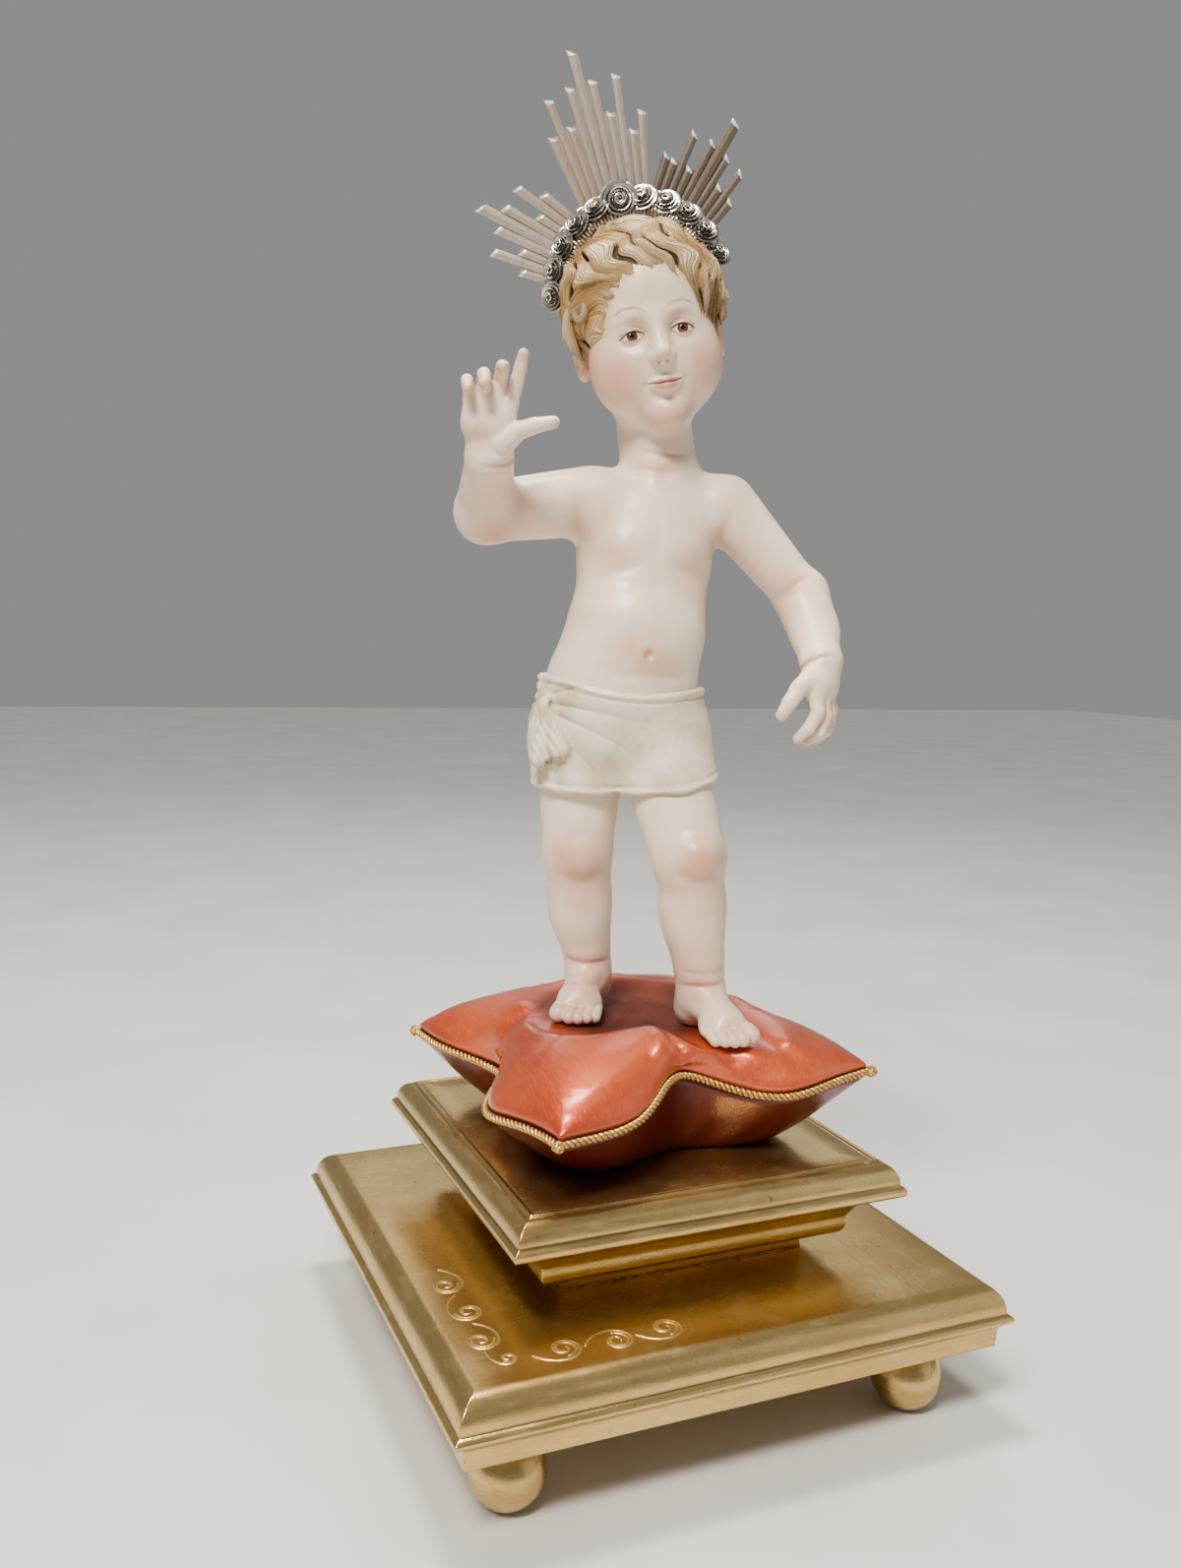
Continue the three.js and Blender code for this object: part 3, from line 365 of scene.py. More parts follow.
def crease(at, normal, c, r, amp, w=1.3, puff=0.45):
    """A fold: a groove along a plane, with soft swellings beside it, near the point c."""
    at, c = np.array(at, float), np.array(c, float)
    n = np.array(normal, float)
    n /= np.linalg.norm(n)

    def f(P):
        t = (P - at) @ n
        d = P - c
        mask = np.exp(-(np.einsum("ij,ij->i", d, d) / (r * r)) ** 2)
        return mask * amp * (np.exp(-(t / w) ** 2) - puff * (np.exp(-((t - 3.0 * w) / (2.2 * w)) ** 2)
                                                             + np.exp(-((t + 3.0 * w) / (2.2 * w)) ** 2)))
    f.at, f.reach = c, 1.6 * r
    return f


def run(ops, P, B=None, M=None):
    """Ops in order: 'a' joins to the group, 'c' cuts the group, 'm' joins the group to the whole,
    'd' adds a displacement to the whole, 'x' cuts the whole, 'g' displaces the group."""
    tot = np.full(len(P), 1e3)
    cur = np.full(len(P), 1e3)
    for i, (kind, f, k) in enumerate(ops):
        if kind == "m":
            tot = smin(tot, cur, k)
            cur = np.full(len(P), 1e3)
            continue
        if M is None:
            s, Q = slice(None), P
        else:
            s = np.nonzero(M[i][B])[0]
            if not len(s):
                continue
            Q = P[s]
        v = f(Q)
        if kind == "a":
            cur[s] = smin(cur[s], v, k)
        elif kind == "c":
            cur[s] = smax(cur[s], -v, k)
        elif kind == "g":
            cur[s] += v
        elif kind == "d":
            tot[s] += v
        elif kind == "x":
            tot[s] = smax(tot[s], -v, k)
    return tot


def mesh_of(ops, lo, hi, h, n=8):
    """Sparse surface nets of the field in a box, then pulled onto the surface: points, quads, normals."""
    lo, hi = np.array(lo, float), np.array(hi, float)
    dims = np.ceil((hi - lo) / (n * h)).astype(int)
    I = np.stack(np.meshgrid(*[np.arange(d) for d in dims], indexing="ij"), -1).reshape(-1, 3)
    C = lo + (I + 0.5) * n * h
    R = n * h * math.sqrt(3) / 2
    F = run(ops, C)
    near = np.abs(F) < 1.45 * R + 1.5
    I, C, F = I[near], C[near], F[near]
    M = np.ones((len(ops), len(I)), bool)
    for i, (kind, f, k) in enumerate(ops):
        if kind == "m":
            continue
        if kind in "dg":
            if hasattr(f, "at"):
                M[i] = np.linalg.norm(C - f.at, axis=1) < f.reach + R
        elif kind == "a":
            M[i] = f(C) < F + 2.5 * R + k + 2
        else:
            M[i] = f(C) < -F + 2.5 * R + k + 2
    m = n + 1
    loc = np.stack(np.meshgrid(*[np.arange(m)] * 3, indexing="ij"), -1).reshape(-1, 3)
    nodes = (I[:, None] * n + loc[None]).reshape(-1, 3)
    P = lo + nodes * h
    B = np.repeat(np.arange(len(I)), m ** 3)
    D = run(ops, P, B, M).reshape(-1, m, m, m)
    D[D == 0] = 1e-9
    base = I * n
    # one vertex a mixed cell, at the mean of its edge crossings
    S = D < 0
    corner = [(a, b, c) for a in (0, 1) for b in (0, 1) for c in (0, 1)]
    cnt = sum(S[:, a:a + n, b:b + n, c:c + n].astype(np.int8) for a, b, c in corner)
    cb, ci, cj, ck = np.nonzero((cnt > 0) & (cnt < 8))
    acc, num = np.zeros((len(cb), 3)), np.zeros(len(cb))
    for (a, b, c) in corner:
        for ax in range(3):
            e = [a, b, c]
            if e[ax]:
                continue
            e2 = list(e)
            e2[ax] = 1
            d0 = D[cb, ci + e[0], cj + e[1], ck + e[2]]
            d1 = D[cb, ci + e2[0], cj + e2[1], ck + e2[2]]
            x = (d0 < 0) != (d1 < 0)
            t = np.where(x, d0 / np.where(x, d0 - d1, 1), 0)
            p = np.array(e, float)[None] + np.zeros((len(cb), 3))
            p[:, ax] += t
            acc += p * x[:, None]
            num += x
    cell = base[cb] + np.stack([ci, cj, ck], 1)
    V = lo + (cell + acc / num[:, None]) * h
    big = dims * n + 4
    key = ((cell[:, 0] + 1) * big[1] + cell[:, 1] + 1) * big[2] + cell[:, 2] + 1
    order = np.argsort(key)
    key, V, VB = key[order], V[order], cb[order]
    quads = []
    for ax in range(3):
        sl0 = [slice(0, n)] * 3
        sl1 = list(sl0)
        sl1[ax] = slice(1, n + 1)
        s0 = S[(slice(None), *sl0)]
        s1 = S[(slice(None), *sl1)]
        eb, ei, ej, ek = np.nonzero(s0 != s1)
        inside_first = s0[eb, ei, ej, ek]
        g = base[eb] + np.stack([ei, ej, ek], 1)
        b, c = (ax + 1) % 3, (ax + 2) % 3
        q = []
        for db, dc in ((1, 1), (0, 1), (0, 0), (1, 0)):
            gg = g.copy()
            gg[:, b] -= db
            gg[:, c] -= dc
            kk = ((gg[:, 0] + 1) * big[1] + gg[:, 1] + 1) * big[2] + gg[:, 2] + 1
            pos = np.clip(np.searchsorted(key, kk), 0, len(key) - 1)
            q.append(np.where(key[pos] == kk, pos, -1))
        q = np.stack(q, 1)
        q[~inside_first] = q[~inside_first][:, ::-1]
        quads.append(q[(q >= 0).all(1)])
    Q = np.concatenate(quads)
    T = np.array([[1, -1, -1], [-1, -1, 1], [-1, 1, -1], [1, 1, 1.0]])
    for it in range(3):
        e = 0.25 * h
        g = np.zeros_like(V)
        f = np.zeros(len(V))
        for t in T:
            v = run(ops, V + e * t, VB, M)
            g += v[:, None] * t
            f += v
        g /= 4 * e
        f /= 4
        l2 = np.maximum(np.einsum("ij,ij->i", g, g), 0.05)
        if it < 2:
            stepv = (f / l2)[:, None] * g
            l = np.linalg.norm(stepv, axis=1)[:, None]
            V -= stepv * np.minimum(1, 0.6 * h / np.maximum(l, 1e-9))
    N = g / np.sqrt(l2)[:, None]
    return V, Q, N


def keep_faces(V, Q, N, keep, *extra):
    Q = Q[keep]
    used = np.zeros(len(V), bool)
    used[Q.ravel()] = True
    idx = np.cumsum(used) - 1
    return (V[used], idx[Q], N[used]) + tuple(e[used] for e in extra)


# ------------------------------------------------------------------ the figure's skin
def soleZ(x, y):
    return 193.6 - 0.03 * x + 0.035 * y


FEET = {"R": ((-25.5, 9), (-15, -39)), "L": ((31.5, -24.5), (17, -43))}
J = dict(
    chest=(0, 3, 444), belly=(-6, -3, 396), pelvis=(-13, 3, 356), neck=(6, 6, 484), skull=(0, 6, 522),
    shoulderR=(-33, 1, 472), elbowR=(-88, -2, 464), wristR=(-89, -39, 487),
    shoulderL=(41.5, 2, 472.5), elbowL=(83, -7.5, 425.5), wristL=(87, -36, 391),
    hipR=(-33.5, 4, 344), kneeR=(-34.6, 0, 283), ankleR=(-25.5, 9, 216),
    hipL=(8.5, -3, 344), kneeL=(21.2, -30, 286), ankleL=(31.5, -24.5, 214))
HEAD_AT = np.array([-6, -1, 566.0])


def rotation(yaw, roll, pitch):
    cy, sy = math.cos(rad(yaw)), math.sin(rad(yaw))
    cr, sr = math.cos(rad(roll)), math.sin(rad(roll))
    cp, sp = math.cos(rad(pitch)), math.sin(rad(pitch))
    Rz = np.array([[cy, -sy, 0], [sy, cy, 0], [0, 0, 1]])
    Ry = np.array([[cr, 0, sr], [0, 1, 0], [-sr, 0, cr]])
    Rx = np.array([[1, 0, 0], [0, cp, -sp], [0, sp, cp]])
    return Rz @ Ry @ Rx


HR = rotation(-4, -12, 7)


def inHead(*p):
    return HR @ np.array(p, float) + HEAD_AT


def headco(P):
    return (P - HEAD_AT) @ HR


EYE = (13.0, -28.9, -9.0)
EYE_R = 6.42


def aperture(q):
    """Below 0 inside the almond opening of either eye, head frame."""
    ex = np.abs(q[:, 0]) - EYE[0]
    ez = q[:, 2] - EYE[2]
    s = np.clip(1 - (ex / 6.0) ** 2, -1, 1)
    return np.maximum(ez - 2.35 * s + 0.10 * ex, -1.9 * s - ez)


def lids(P):
    q = headco(P)
    c = np.array(EYE)
    d = np.stack([np.abs(q[:, 0]) - c[0], q[:, 1] - c[1], q[:, 2] - c[2]], 1)
    r = np.sqrt(np.einsum("ij,ij->i", d, d))
    a = aperture(q)
    # the upper lid stands a little prouder than the lower one
    ball = r - 6.88 - 0.45 * smoothstep(d[:, 2], -1, 3)
    return smax(ball, -smax(a, 6.2 - r, 0.3), 0.7)


def lid_fold(P):
    q = headco(P)
    ex = np.abs(q[:, 0]) - EYE[0]
    s = np.clip(1 - (ex / 7.0) ** 2, 0, 1)
    z = q[:, 2] - EYE[2] - 1.1 - 3.4 * s
    return 0.5 * np.exp(-(z / 0.75) ** 2) * s * (q[:, 1] < -20)


lid_fold.at, lid_fold.reach = inHead(0, -30, -6), 30.0


def mouth_line(P):
    q = headco(P)
    ax = np.abs(q[:, 0])
    zm = -33.4 + 0.12 * np.cos(ax * 0.7) * np.exp(-(ax / 5) ** 2) + 0.009 * ax * ax
    return 0.70 * np.exp(-((q[:, 2] - zm) / 0.62) ** 2) * smoothstep(ax, 10.0, 6.0) * (q[:, 1] < -25)


mouth_line.at, mouth_line.reach = inHead(0, -38, -33), 14.0


def foot_ops(ankle, direction, side):
    d = np.array(direction, float)
    sole = soleZ(ankle[0] + d[0] * 0.4, ankle[1] + d[1] * 0.4)
    d /= np.linalg.norm(d)
    rx, ry = d[1] * side, -d[0] * side

    def at(f, r, z):
        return (ankle[0] + d[0] * f + rx * r, ankle[1] + d[1] * f + ry * r, sole + z)
    ops = [("a", ell(at(-5, 0, 10.5), (11.5, 11.5, 11)), 5),
           ("a", cone(at(0, 0, 18), at(24, 0, 9.5), 12, 8.5), 5),
           ("a", cone(at(22, 4, 8.3), at(29, 4.6, 6.6), 8, 6.2), 4),
           ("a", cone(at(20, -6, 7.2), at(27, -6.5, 5.6), 7, 5.0), 4)]
    toes = [(37, 7.2, 5.4, 5.2), (39.5, .6, 4.5, 4), (38.5, -3.9, 4, 3.6), (36, -8, 3.8, 3.4), (32.5, -11.8, 3.6, 3.3)]
    nails = []
    for f, r, z, q in toes:
        ops.append(("a", cone(at(f - 11, r * .90, z + 1.6), at(f - 3.5, r, z + 1.0), q * .92, q * .90), 0.9))
        ops.append(("a", cone(at(f - 3.5, r, z + 1.0), at(f, r, z - 0.2), q * .88, q * .98), 0.6))
        nails.append((np.array(at(f + q * 0.42, r, z + q * 0.78)), q * 0.55))
    ops += [("g", gauss(at(11, -8.5, 17), (4, 4, 4), 0.7), 0)]
    for f, r, z, q in toes:  # a soft joint crease on each toe
        ops.append(("g", gauss(at(f - 4.6, r * .95, z + q + 0.4), (1.0, 1.0, 1.6), 0.35), 0))
    return ops, nails


NECK_OP = ("a", cone(J["neck"], J["skull"], 21, 19.5), 8)
body_ops = [
    ("a", ell((-2.2, 3, 444), (37.0, 28, 43)), 1),
    ("a", cone((-22, 3, 470), (31, 3, 471), 15, 15), 14),
    ("a", cone(J["neck"], (-14, 6, 478), 13, 10), 8),
    ("a", cone(J["neck"], (27, 6, 479), 13, 10), 8),
    ("a", ell((-6.5, -3, 405), (38.0, 32, 34)), 12),
    ("a", ell((-13, -2, 381), (39.5, 32, 30)), 10),
    ("a", ell(J["pelvis"], (42.5, 30, 30)), 18),
    ("a", ell((-31, 19, 345), (22, 20, 23)), 8),
    ("a", ell((9, 17, 347), (22, 20, 23)), 8),
    ("a", cone(J["hipR"], J["kneeR"], 25, 18.5), 8),
    ("a", cone(J["hipL"], J["kneeL"], 25, 19.8), 8),
    ("a", cone(J["kneeR"], J["ankleR"], 18, 12.6), 5),
    ("a", cone(J["kneeL"], J["ankleL"], 18.5, 13), 5),
    ("a", ell((-32.8, 7, 255), (16.5, 17, 25)), 7),
    ("a", ell((25.2, -22, 258), (17.3, 17, 26)), 7),
    ("a", ell((-35, -12, 283), (10, 8, 10)), 6),
    ("a", ell((23, -43, 288), (10.5, 8, 10.5)), 6),
    NECK_OP,
    ("a", cone(J["shoulderR"], J["elbowR"], 18.5, 15.6), 9),
    ("a", cone(J["elbowR"], J["wristR"], 16.4, 11.6), 5),
    ("a", cone(J["shoulderL"], J["elbowL"], 16.8, 12.9), 7),
    ("a", cone(J["elbowL"], J["wristL"], 15.4, 10.4), 4)]
footR, nailsR = foot_ops(J["ankleR"], FEET["R"][1], 1)
footL, nailsL = foot_ops(J["ankleL"], FEET["L"][1], -1)

head_ops = [
    ("a", ell(inHead(0, 6, 10), (38, 43, 37), HR), 1),
    ("a", ell(inHead(0, -8, -18), (33.5, 31, 38), HR), 8),
    ("a", ell(inHead(-15.8, -16.5, -25.5), (17, 17, 17.5)), 9),
    ("a", ell(inHead(15.8, -16.5, -25.5), (17, 17, 17.5)), 9),
    ("a", ell(inHead(0, -25, -45), (12, 11, 11)), 7),
    ("a", ell(inHead(0, -30.5, -48.5), (7.5, 7, 6.5)), 6)]
for sx in (-1, 1):
    head_ops += [("c", ell(inHead(13 * sx, -39.6, -8.6), (9.6, 6.0, 6.6), HR), 5)]
head_ops += [
    ("a", cone(inHead(0, -32.6, -2), inHead(0, -41.6, -17.8), 2.4, 3.1), 7),
    ("a", ell(inHead(0, -42.6, -19.2), (3.5, 3.6, 3.3), HR), 3)]
for sx in (-1, 1):
    head_ops += [
        ("a", ell(inHead(4.1 * sx, -39.4, -20.8), (2.4, 3.3, 2.3), HR), 2.4),
        ("a", cone(inHead(7.9 * sx, -35.7, -32.9), inHead(1.2 * sx, -38.3, -31.9), 0.9, 1.7), 2.6),
        ("a", cone(inHead(6.4 * sx, -35.7, -34.5), inHead(0, -37.6, -35.4), 1.2, 2.1), 2.6)]
head_ops += [
    ("c", ell(inHead(2.3, -42.0, -23.6), (1.25, 2.0, 1.6), HR), 0.8),
    ("c", ell(inHead(-2.3, -42.0, -23.6), (1.25, 2.0, 1.6), HR), 0.8),
    ("a", lids, 1.2),
    ("g", lid_fold, 0), ("g", mouth_line, 0),
    ("g", gauss(inHead(9.8, -35.0, -33.1), (1.8, 3, 1.8), 0.6), 0),
    ("g", gauss(inHead(-9.8, -35.0, -33.1), (1.8, 3, 1.8), 0.6), 0),
    ("g", gauss(inHead(0, -38.5, -28), (1.5, 4, 3.2), 0.5, HR), 0),
    ("g", gauss(inHead(0, -36.5, -41.2), (6.5, 5, 2.4), 1.0, HR), 0),
    ("g", gauss(inHead(12.5, -38, 1.0), (8, 6, 2.8), -0.7, HR), 0),
    ("g", gauss(inHead(-12.5, -38, 1.0), (8, 6, 2.8), -0.7, HR), 0)]
SKULL_OPS = list(head_ops)
for sx in (-1, 1):  # ears: shell, hollow, inner fold and lobe
    head_ops += [
        ("a", ell(inHead(36.6 * sx, 4.5, -11), (4.2, 8.6, 11.6), HR), 2.5),
        ("a", ell(inHead(36.4 * sx, 1.2, -20.5), (3.4, 3.8, 4.4), HR), 2),
        ("c", ell(inHead(41.6 * sx, 3.2, -9.6), (3.6, 5.4, 7.8), HR), 1.0),
        ("a", cone(inHead(38.2 * sx, 5.4, -4.5), inHead(38.0 * sx, 5.6, -13.5), 1.3, 1.4), 1.0),
        ("c", ell(inHead(40.2 * sx, 1.2, -13.6), (3.2, 3.0, 3.6), HR), 0.8)]


def hand_ops(palm, fingers, thumb, blend):
    ops = [("a", cone(*p), 4) for p in palm]
    for f in fingers + [thumb]:
        pts, r = f
        for i in range(len(pts) - 1):
            ops.append(("a", cone(pts[i], pts[i + 1], r[i], r[i + 1]), 0.8 if i else 1.5))
    for f in fingers + [thumb]:
        pts, r = f
        for i in (1, 2):  # joint creases
            a, b = np.array(pts[i - 1], float), np.array(pts[i + 1], float)
            ops.append(("g", crease(pts[i], b - a, pts[i], 1.5 * r[i], 0.22, 0.55, 0.2), 0))
    return ops + [("m", None, blend)]


def hr(x, y, z):
    return (-90 + x, -47 + y, 500 + z)


def hl(x, y, z):
    return (85 + x, -43 + y, 378 + z)


fingersR = [
    ([hr(10.5, -1.5, 13), hr(13, -3.5, 22), hr(14.5, -6.5, 29), hr(15.5, -9, 34.5)], (3.8, 3.4, 3.1, 2.7)),
    ([hr(4, -1.5, 14), hr(5, -4.5, 23), hr(5.4, -11, 27.5), hr(5.4, -16, 27)], (3.8, 3.4, 3.2, 2.7)),
    ([hr(-2.4, -1.5, 14), hr(-3, -5, 22), hr(-3.4, -12, 23.5), hr(-3.2, -16, 19)], (3.8, 3.4, 3.2, 2.7)),
    ([hr(-8.8, -1, 12.5), hr(-10.6, -4.5, 19.5), hr(-11.4, -10.5, 20.5), hr(-11.2, -14, 16.5)], (3.5, 3.1, 2.9, 2.5))]
thumbR = ([hr(6, -1, -7), hr(14, -4.5, -1), hr(21.5, -6.5, 1.5), hr(31, -8, 3.5)], (6.4, 4.6, 3.9, 3))
fingersL = [
    ([hl(-3.4, -3.6, -4), hl(-3, -7, -13), hl(-7.5, -7.5, -21), hl(-12.5, -5, -27)], (4.1, 3.7, 3.3, 2.7)),
    ([hl(0.8, -0.6, -6), hl(2.4, -3.4, -15), hl(-0.6, -3.8, -23.5), hl(-6.5, -1.5, -28.5)], (4, 3.6, 3.2, 2.7)),
    ([hl(4, 3, -5.5), hl(6, 1.6, -14.5), hl(4.6, 1.2, -22.5), hl(-0.6, 3, -28)], (3.9, 3.5, 3.1, 2.6)),
    ([hl(6.4, 6.8, -4), hl(8.6, 6.2, -11.5), hl(8, 6, -18.5), hl(4, 7.2, -24)], (3.6, 3.2, 2.9, 2.5))]
thumbL = ([hl(-6, -2, 4), hl(-13, -5, -1), hl(-18, -6.5, -8), hl(-22.5, -7.5, -15)], (6, 4.6, 4, 3.1))
handR = hand_ops([
    (J["wristR"], hr(-5, 2, 4), 11.2, 7.2), (J["wristR"], hr(6, 2, 2), 11.2, 7.6),
    (hr(-7, 0, 2), hr(-8, -1.5, 12), 6.6, 4.8), (hr(6, 0, 2), hr(9.5, -1.5, 12), 6.6, 4.8),
    (hr(0, 0, 2), hr(1, -1.5, 13), 6.4, 4.8)], fingersR, thumbR, 2.0)
handL = hand_ops([
    (J["wristL"], hl(-3, -1, 1), 10.2, 6.6), (J["wristL"], hl(4, 4, 1), 10.2, 6.4),
    (hl(-3, -1, 2), hl(-3, -3, -4), 6.2, 4.9), (hl(4, 4, 2), hl(5, 5, -4), 6, 4.6),
    (hl(1, 1, 1), hl(1.5, 1, -5), 6, 4.8)], fingersL, thumbL, 2.0)

# Folds and forms: position, plane normal, centre of effect, its radius, depth
FOLDS = [
    ((4, -12, 497), (0.05, -0.35, 1), (5, -20, 497), 17, 0.55, 1.6),     # neck
    ((2, -12, 489), (-0.05, -0.45, 1), (-2, -16, 489), 12, 0.35, 1.5),
    ((76.0, -20.5, 431.0), (0.50, -0.28, -0.82), (73, -20, 430), 12, 0.85, 2.4),  # left elbow
    ((73.5, -19.5, 426.0), (0.36, -0.30, -0.88), (71, -20, 426), 10, 0.3, 1.8),
    ((-88, -41, 488), (-0.02, -0.60, 0.80), (-84, -49, 486), 10, 0.8, 1.3),      # right wrist
    ((-86, -16, 458), (-0.25, -0.93, 0.25), (-82, -20, 474), 11, 1.0, 1.4),      # right elbow
    ((87, -37.5, 388.5), (0.10, -0.50, -0.85), (82, -40, 388), 11, 0.9, 1.3),    # left wrist
    ((-27.9, -4.4, 222.5), (0.02, -0.10, 1), (-31, -8, 222), 14, 0.85, 1.7),     # right ankle
    ((-28.9, -12.0, 212.5), (0.08, 0.45, 1), (-31, -13, 213), 9, 0.5, 1.3),
    ((28.2, -38.1, 224.8), (0.0, -0.12, 1), (31, -41, 224), 14, 0.35, 1.7),      # left ankle
    ((26.4, -37.4, 217.5), (-0.05, 0.10, 1), (30, -42, 217), 13, 0.85, 1.5),
    ((-33, 14, 285), (0, 0.25, 1), (-33, 20, 285), 12, 0.9, 1.6),                # backs of the knees
    ((21, -14, 288), (0, 0.25, 1), (21, -10, 288), 12, 0.9, 1.6),
    ((-20, -30, 436), (-0.30, 0.05, 1), (-23, -25, 437), 15, 0.62, 3.2),         # under the chest
    ((20, -30, 435), (0.30, 0.05, 1), (23, -25, 436), 15, 0.62, 3.2),
    ((-38, -14, 455), (0.93, 0.1, 0.35), (-38, -14, 457), 13, 0.85, 2.5),         # armpit lines
    ((37, -14, 456), (0.95, -0.1, -0.30), (36, -14, 456), 13, 0.8, 2.5),
    ((-4, -32, 381), (0.0, 0.2, 1), (-4, -33, 383), 20, 0.6, 2.4),
]
whole_ops = body_ops + footR + footL + [("m", None, 1)] + head_ops + [("m", None, 6)] + handR + handL
fold_ops = [("d", crease(at, n, c, r, a, w), 0) for at, n, c, r, a, w in FOLDS]
form_ops = [("d", gauss(*g), 0) for g in [
    ((-4.5, -34.0, 391.8), (2.3, 4.5, 2.6), 3.2), ((-4.5, -34.0, 391.8), (7, 5, 6), -0.8), ((5, -15, 485.5), (4.5, 7, 4), 1.5),
    ((-19.5, -23, 449), (12, 9, 9), -2.0), ((20, -23, 448), (12, 9, 9), -2.0),
    ((0, -27, 447), (3.4, 6, 18), 1.1), ((0, -30, 420), (3.0, 6, 14), 0.5), ((-2, -31, 428), (26, 8, 3.4), 0.6),
    ((-12, -14, 483), (9, 5, 3), 0.8), ((22, -13, 484), (9, 5, 3), 0.8),
    ((-20, 27, 454), (10, 6, 14), -1.5), ((20, 27, 454), (10, 6, 14), -1.5),
    ((0, 31, 440), (3.5, 6, 40), 1.4), ((-40, -5, 408), (5, 16, 6), 0.7), ((31, -5, 406), (5, 16, 6), 0.5),
    ((-43.5, -12, 273), (5, 6, 4), 0.5), ((-26.5, -14, 273), (5, 6, 4), 0.45), ((-35, -18, 270), (8, 5, 3.4), 0.3),
    ((14, -46, 279), (5, 6, 4), 0.6), ((32.5, -43, 279), (5, 6, 4), 0.8), ((23, -48, 276), (8, 5, 3.4), 0.35),
    ((-35.5, -19, 286), (7, 5, 6), -1.0), ((100.5, -24, 407), (7, 9, 13), -2.4), ((23, -50, 291), (7, 5, 6), -1.2),
    ((-92, 12, 459), (5, 5, 5), -0.7), ((84, 7, 422), (5, 5, 5), -0.7),
]]
sole_ops = [("x", lambda P: P[:, 2] - soleZ(P[:, 0], P[:, 1]), 0.6)]
skin_ops = whole_ops + fold_ops + form_ops + sole_ops

# Loincloth: a wrap over pelvis and upper thighs with a rolled hem, folds and a knot at the right hip
KNOT = np.array([-53, -14, 364.0])
wrap_ops = [
    ("a", ell((-13, 3, 354), (42.5, 31, 31)), 1),
    ("a", cone((-33.5, 3, 344), (-33, 1, 316), 25, 23.6), 12),
    ("a", cone((8.5, -3, 344), (12.5, -11, 316), 25, 24), 12),
    ("a", ell((-12, 17, 346), (37, 22, 25)), 8)]


def wrap_shape(P):
    x, y, z = P.T
    across = (x + 13) / 48
    top = z - (378 - 3 * across - 6 * np.maximum(0, -y / 34) * (1 - across * across))
    low = 318 + 5 * across * across + 3 * across - z
    w = smin(run(wrap_ops + [("m", None, 1)], P), run(body_ops + [("m", None, 1)], P) - 0.4, 3) - 2.3
    # folds gather at the knot and fan out over the front and back
    around = np.arctan2(-(y - 3), x + 13)               # 0 at its left, pi at its right hip
    front = np.pi - np.abs(np.where(around > -np.pi / 2, around, around + 2 * np.pi))
    u = np.where(y < 3, 1, -1) * 40 * np.arccos(np.clip(-(x + 13) / np.hypot(x + 13, 1.25 * (y - 3)), -1, 1))
    u0 = u - 12
    v = z - 366
    ang = np.arctan2(v + 0.0012 * u0 * u0, np.abs(u0) + 2)
    r = np.hypot(u0, v)
    fold = np.abs(np.sin(ang * 8.5 + 0.5 * np.sin(ang * 5 + 1) + 0.010 * r)) ** 0.8 - 0.45
    amp = 2.3 * smoothstep(r, 4, 14) * (0.35 + 0.65 * np.exp(-r / 60)) * smoothstep(np.cos(around * 0.5) ** 2, 1.01, -0.2)
    w = w - amp * fold - 0.35 * np.sin(0.42 * u + 0.25 * z) * smoothstep(z, 352, 330)
    w = w - 0.75 * np.exp(-((top + 1.7) / 1.3) ** 2) - 0.6 * np.exp(-((low + 1.6) / 1.2) ** 2)
    w = w + 0.5 * np.exp(-((top + 4.6) / 1.0) ** 2) + 0.4 * np.exp(-((low + 4.2) / 1.0) ** 2)
    low = low + 0.8 * np.sin(0.35 * u + 1.0)
    return smax(smax(w, top, 1.8), low, 1.8)


def knot_folds(P):
    d = P - KNOT
    return 0.4 * np.sin(1.5 * d[:, 0] + 0.9 * d[:, 2]) * smoothstep(d[:, 2], -4, -12)


knot_folds.at, knot_folds.reach = KNOT + np.array([0, 0, -14.0]), 24.0
cloth_ops = [
    ("a", wrap_shape, 1), ("m", None, 1),
    ("a", ell((-53, -15, 364), (6.8, 5.6, 6.6)), 1),
    ("c", ell((-53, -21.5, 365), (1.5, 4, 5.5)), 1.5),
    ("a", cone((-54, -15, 360), (-57.5, -16.5, 335), 3.4, 6.4), 2.4),
    ("a", cone((-51, -18, 359), (-48.5, -22.5, 341), 3.2, 5.6), 2.4),
    ("c", ell((-57.5, -17, 328), (9, 9, 4.2)), 1.0),
    ("c", ell((-48, -23.5, 333.5), (8, 8, 4)), 1.0),
    ("g", knot_folds, 0),
    ("m", None, 2.4)]


